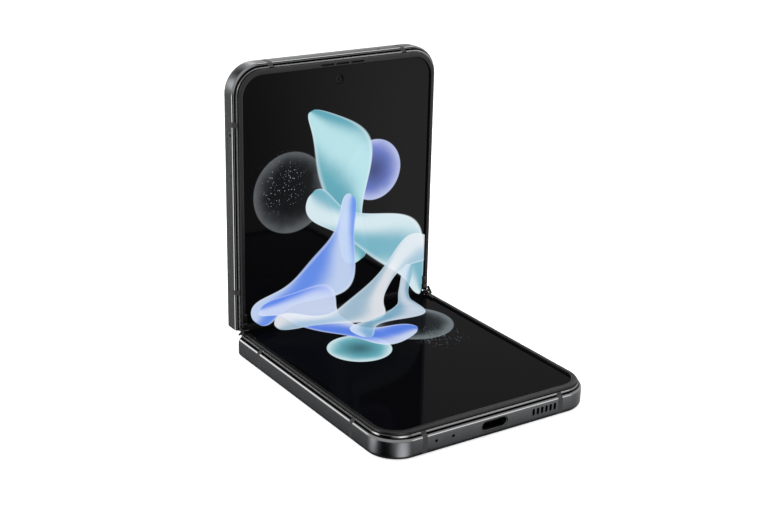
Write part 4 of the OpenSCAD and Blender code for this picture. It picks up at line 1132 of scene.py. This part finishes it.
def buildCameras():
    # Ring, lens glass, barrel and coated front element, each turned about the camera's own axis.
    r, e, proud = rear["ringR"], rear["ringEdge"], rear["proud"]
    inner, seat = rear["lensR"] + 0.05, r - rear["seat"] - 0.05
    turns = np.linspace(0, math.pi / 2, 6)
    ring = [(r - e * (1 - math.sin(t)), -proud + e * (1 - math.cos(t))) for t in turns]
    ring += [(r, 0), (seat, 0), (seat, half["glass"]), (inner, half["glass"]), (inner, -proud + 0.25),
             (inner + 0.25, -proud)]
    face, low, size = rear["drop"] - proud, rear["barrelFace"] - proud, rear["box"] / 2
    lens = [(rear["lensR"] - 0.08, face), (rear["lensR"], face + 0.08), (rear["lensR"], face + rear["lensT"])]
    foot = rear["boxLow"] + 0.3
    barrel = [(0.02, foot), (rear["barrelR"], foot)]
    barrel += [(rear["barrelR"] + q, low + h) for q, h in rear["barrel"]]
    barrel.append((0.02, low + 0.75))
    dome = [(rear["domeR"] * math.cos(t), low + 0.78 - rear["domeRise"] * math.sin(t))
            for t in np.linspace(0, math.pi / 2, 10)[:-1]] + [(0.02, low + 0.36)]
    rings, lenses, barrels, elements = [], [], [], []
    for v in rear["cameraVs"]:
        centre = (rear["cameraX"], v)
        rings.append(lathe(ring, centre, 96, closed=True))
        lenses.append(lathe(lens, centre, 96))
        barrels.append(lathe(barrel, centre, 72))
        barrels.append(softBlock((centre[0] - size, v - size, rear["boxLow"]),
                                 (centre[0] + size, v + size, rear["boxHigh"]), 0.2, 0.5))
        elements.append(lathe(dome, centre))
    for name, parts, material, angle in (("camera_rings", rings, ringMetal, 30),
                                         ("camera_lenses", lenses, lensGlass, 30),
                                         ("rear_cameras", barrels, cameraBlack, 30),
                                         ("camera_elements", elements, lensBlack, 40)):
        makePiece(name, joined(parts), toUpper, "upper_half", material, angle)


def buildFlash():
    # A diffuser with fine circular ridges under its clear face.
    r, low, high = rear["flashR"], rear["flashLow"], rear["flashHigh"]
    rows = [(r - 0.02, high), (r, high - 0.05), (r, low + 0.05), (r - 0.05, low)]
    ridges = np.linspace(r - 0.15, 0.1, 15)
    rows += [(q, low + (0.07 if k % 2 else 0.0)) for k, q in enumerate(ridges)] + [(0.02, low)]
    makePiece("rear_flash", lathe(rows, rear["flash"]), toUpper, "upper_half", flashLens, 20)


def buildCoverDisplay():
    # The thin screen behind the cover window.
    x, v = rear["cover"]
    w, h, low = rear["coverW"] / 2, rear["coverH"] / 2, half["glass"]
    screen = softBlock((x - w, v - h, low), (x + w, v + h, low + rear["coverT"]), 0.05, 1.2)
    makePiece("cover_display", screen, toUpper, "upper_half", coverScreen, 30)


buildCameras()
buildFlash()
buildCoverDisplay()
print("back made")

# finishes of the inner pieces that stay as the frame has them
insideFinish = {
    sheetSteel: ["upper_mid_plate", "lower_mid_plate", "upper_fold_plate", "lower_fold_plate", "shield_cans",
                 "card_socket", "vibration_motor"],
    groundSteel: ["upper_hinge_arms", "lower_hinge_arms", "hinge_housings", "friction_clips",
                  "lower_main_gears", "lower_idler_gears", "upper_idler_gears", "upper_main_gears"],
    cellPouch: ["upper_battery", "lower_battery"],
    circuitBoard: ["main_board", "lower_board"],
    woundCopper: ["charging_coil"],
    nickelPlate: ["upper_magnets", "lower_magnets"],
    screwSteel: ["upper_screws", "lower_screws", "hinge_screws"],
    goldPlate: ["upper_microphone", "lower_microphones", "key_switches"],
    cameraBlack: ["earpiece_speaker", "loudspeaker"],
}
for material, names in insideFinish.items():
    for name in names:
        data = nodes[name].data
        data.materials.clear()
        data.materials.append(material)
print("inner pieces finished")

# floor, world and lights
studio = {
    "floorReach": 3.0, "floorDrop": 0.00006, "floorGlow": 0.62, "floorGrey": 0.8, "ambient": 0.5,
    "white": 0.7,
}
softboxes = [   # azimuth from -x towards -y, elevation, near and far reach in degrees, strength
    (-30, -26, 2, 15, 1.1), (-17, -16, 5, 15, 2.2), (84, -34, 7, 24, 2.4), (-56, 11, 5, 15, 2.2),
    (-113, 23, 2, 9, 2.0), (-105, 38, 3, 10, 1.6), (124, 9, 4, 16, 1.8), (-141, 47, 4, 13, 2.0),
    (-122, 2, 3, 12, 0.3), (130, -15, 5, 12, 0.5),
]
flags = [   # black flags: the same, and how much of the white each one takes
    (20, -24, 16, 36, 1.0), (-76, 33, 6, 15, 1.0), (-66, -22, 10, 26, 0.55), (-126, 22, 6, 13, 0.75),
    (0, -90, 52, 72, 0.9), (162, 57, 8, 22, 1.0), (112, -17, 4, 12, 0.65), (90, -16, 4, 13, 0.8),
]
lamps = [   # name, place in mm, aim in mm, width and height in mm, power in watts
    ("keyLamp", (-420, 120, 420), (0, 0, 40), (260, 260), 1.6),
    ("fillLamp", (420, -260, 300), (0, 0, 30), (300, 300), 1.2),
    ("topLamp", (60, 60, 620), (0, 0, 0), (400, 400), 2.0),
]


def seenPlainly(tree):
    # 1 for what the camera sees, straight or through glass.
    path = add(tree, "LightPath").outputs
    return maths("ADD", Value(path["Is Camera Ray"]), path["Is Transmission Ray"], True)


def addFloor():
    # A pale floor: matt, with a glow of its own in what the camera sees.
    r, z = studio["floorReach"], -studio["floorDrop"]
    mesh = bpy.data.meshes.new("floor")
    mesh.from_pydata([(-r, -r, z), (r, -r, z), (r, r, z), (-r, r, z)], [], [(0, 1, 2, 3)])
    floor = bpy.data.objects.new("floor", mesh)
    bpy.context.scene.collection.objects.link(floor)
    floor.visible_glossy = False   # reflections see the studio below the horizon too
    material = bpy.data.materials.new("paleFloor")
    material.use_nodes = True
    tree = material.node_tree
    tree.nodes.remove(tree.nodes["Principled BSDF"])
    matt = get(tree, "BsdfDiffuse", Color=(studio["floorGrey"],) * 3 + (1,))
    light = get(tree, "Emission", Strength=seenPlainly(tree) * studio["floorGlow"])
    feed(tree.nodes["Material Output"].inputs["Surface"], get(tree, "AddShader", i0=matt, i1=light))
    mesh.materials.append(material)


def lobe(where, azimuth, elevation, near, far, value):
    # The value within the near reach about a direction, falling smoothly to 0 at the far reach.
    a, e = math.radians(azimuth), math.radians(elevation)
    aim = (-math.cos(a) * math.cos(e), -math.sin(a) * math.cos(e), math.sin(e))
    cosine = get(where.tree, "VectorMath", "Value", operation="DOT_PRODUCT", i0=where, i1=aim)
    return ramp(maths("ARCCOSINE", cosine), math.radians(near), math.radians(far), value, 0.0)


def addWorld():
    # White all round: reflections see it with the black flags and the softboxes in it.
    world = bpy.data.worlds.new("studio")
    bpy.context.scene.world = world
    world.use_nodes = True
    tree = world.node_tree
    back = tree.nodes["Background"].inputs
    where = get(tree, "TexCoord", "Generated")
    feed(back["Color"], (1, 1, 1, 1))
    gloss = studio["white"]
    for flag in flags:
        gloss = gloss * (1.0 - lobe(where, *flag))
    for softbox in softboxes:
        gloss = gloss + lobe(where, *softbox)
    rest = get(tree, "Mix", i0=get(tree, "LightPath", "Is Glossy Ray"), i2=studio["ambient"], i3=gloss)
    feed(back["Strength"], get(tree, "Mix", i0=seenPlainly(tree), i2=rest, i3=1.0))


def addLamps():
    # Rectangular lamps, each turned from its place towards its aim.
    for name, place, aim, size, power in lamps:
        data = bpy.data.lights.new(name, "AREA")
        data.shape = "RECTANGLE"
        data.size, data.size_y = (s * mm for s in size)
        data.energy = power
        lamp = bpy.data.objects.new(name, data)
        lamp.location = [p * mm for p in place]
        lamp.visible_glossy = False   # the softboxes are in the world's reflections
        lamp.rotation_mode = "QUATERNION"
        lamp.rotation_quaternion = (Vector(place) - Vector(aim)).to_track_quat("Z", "Y")
        bpy.context.scene.collection.objects.link(lamp)


addFloor()
addWorld()
addLamps()
print("studio made")
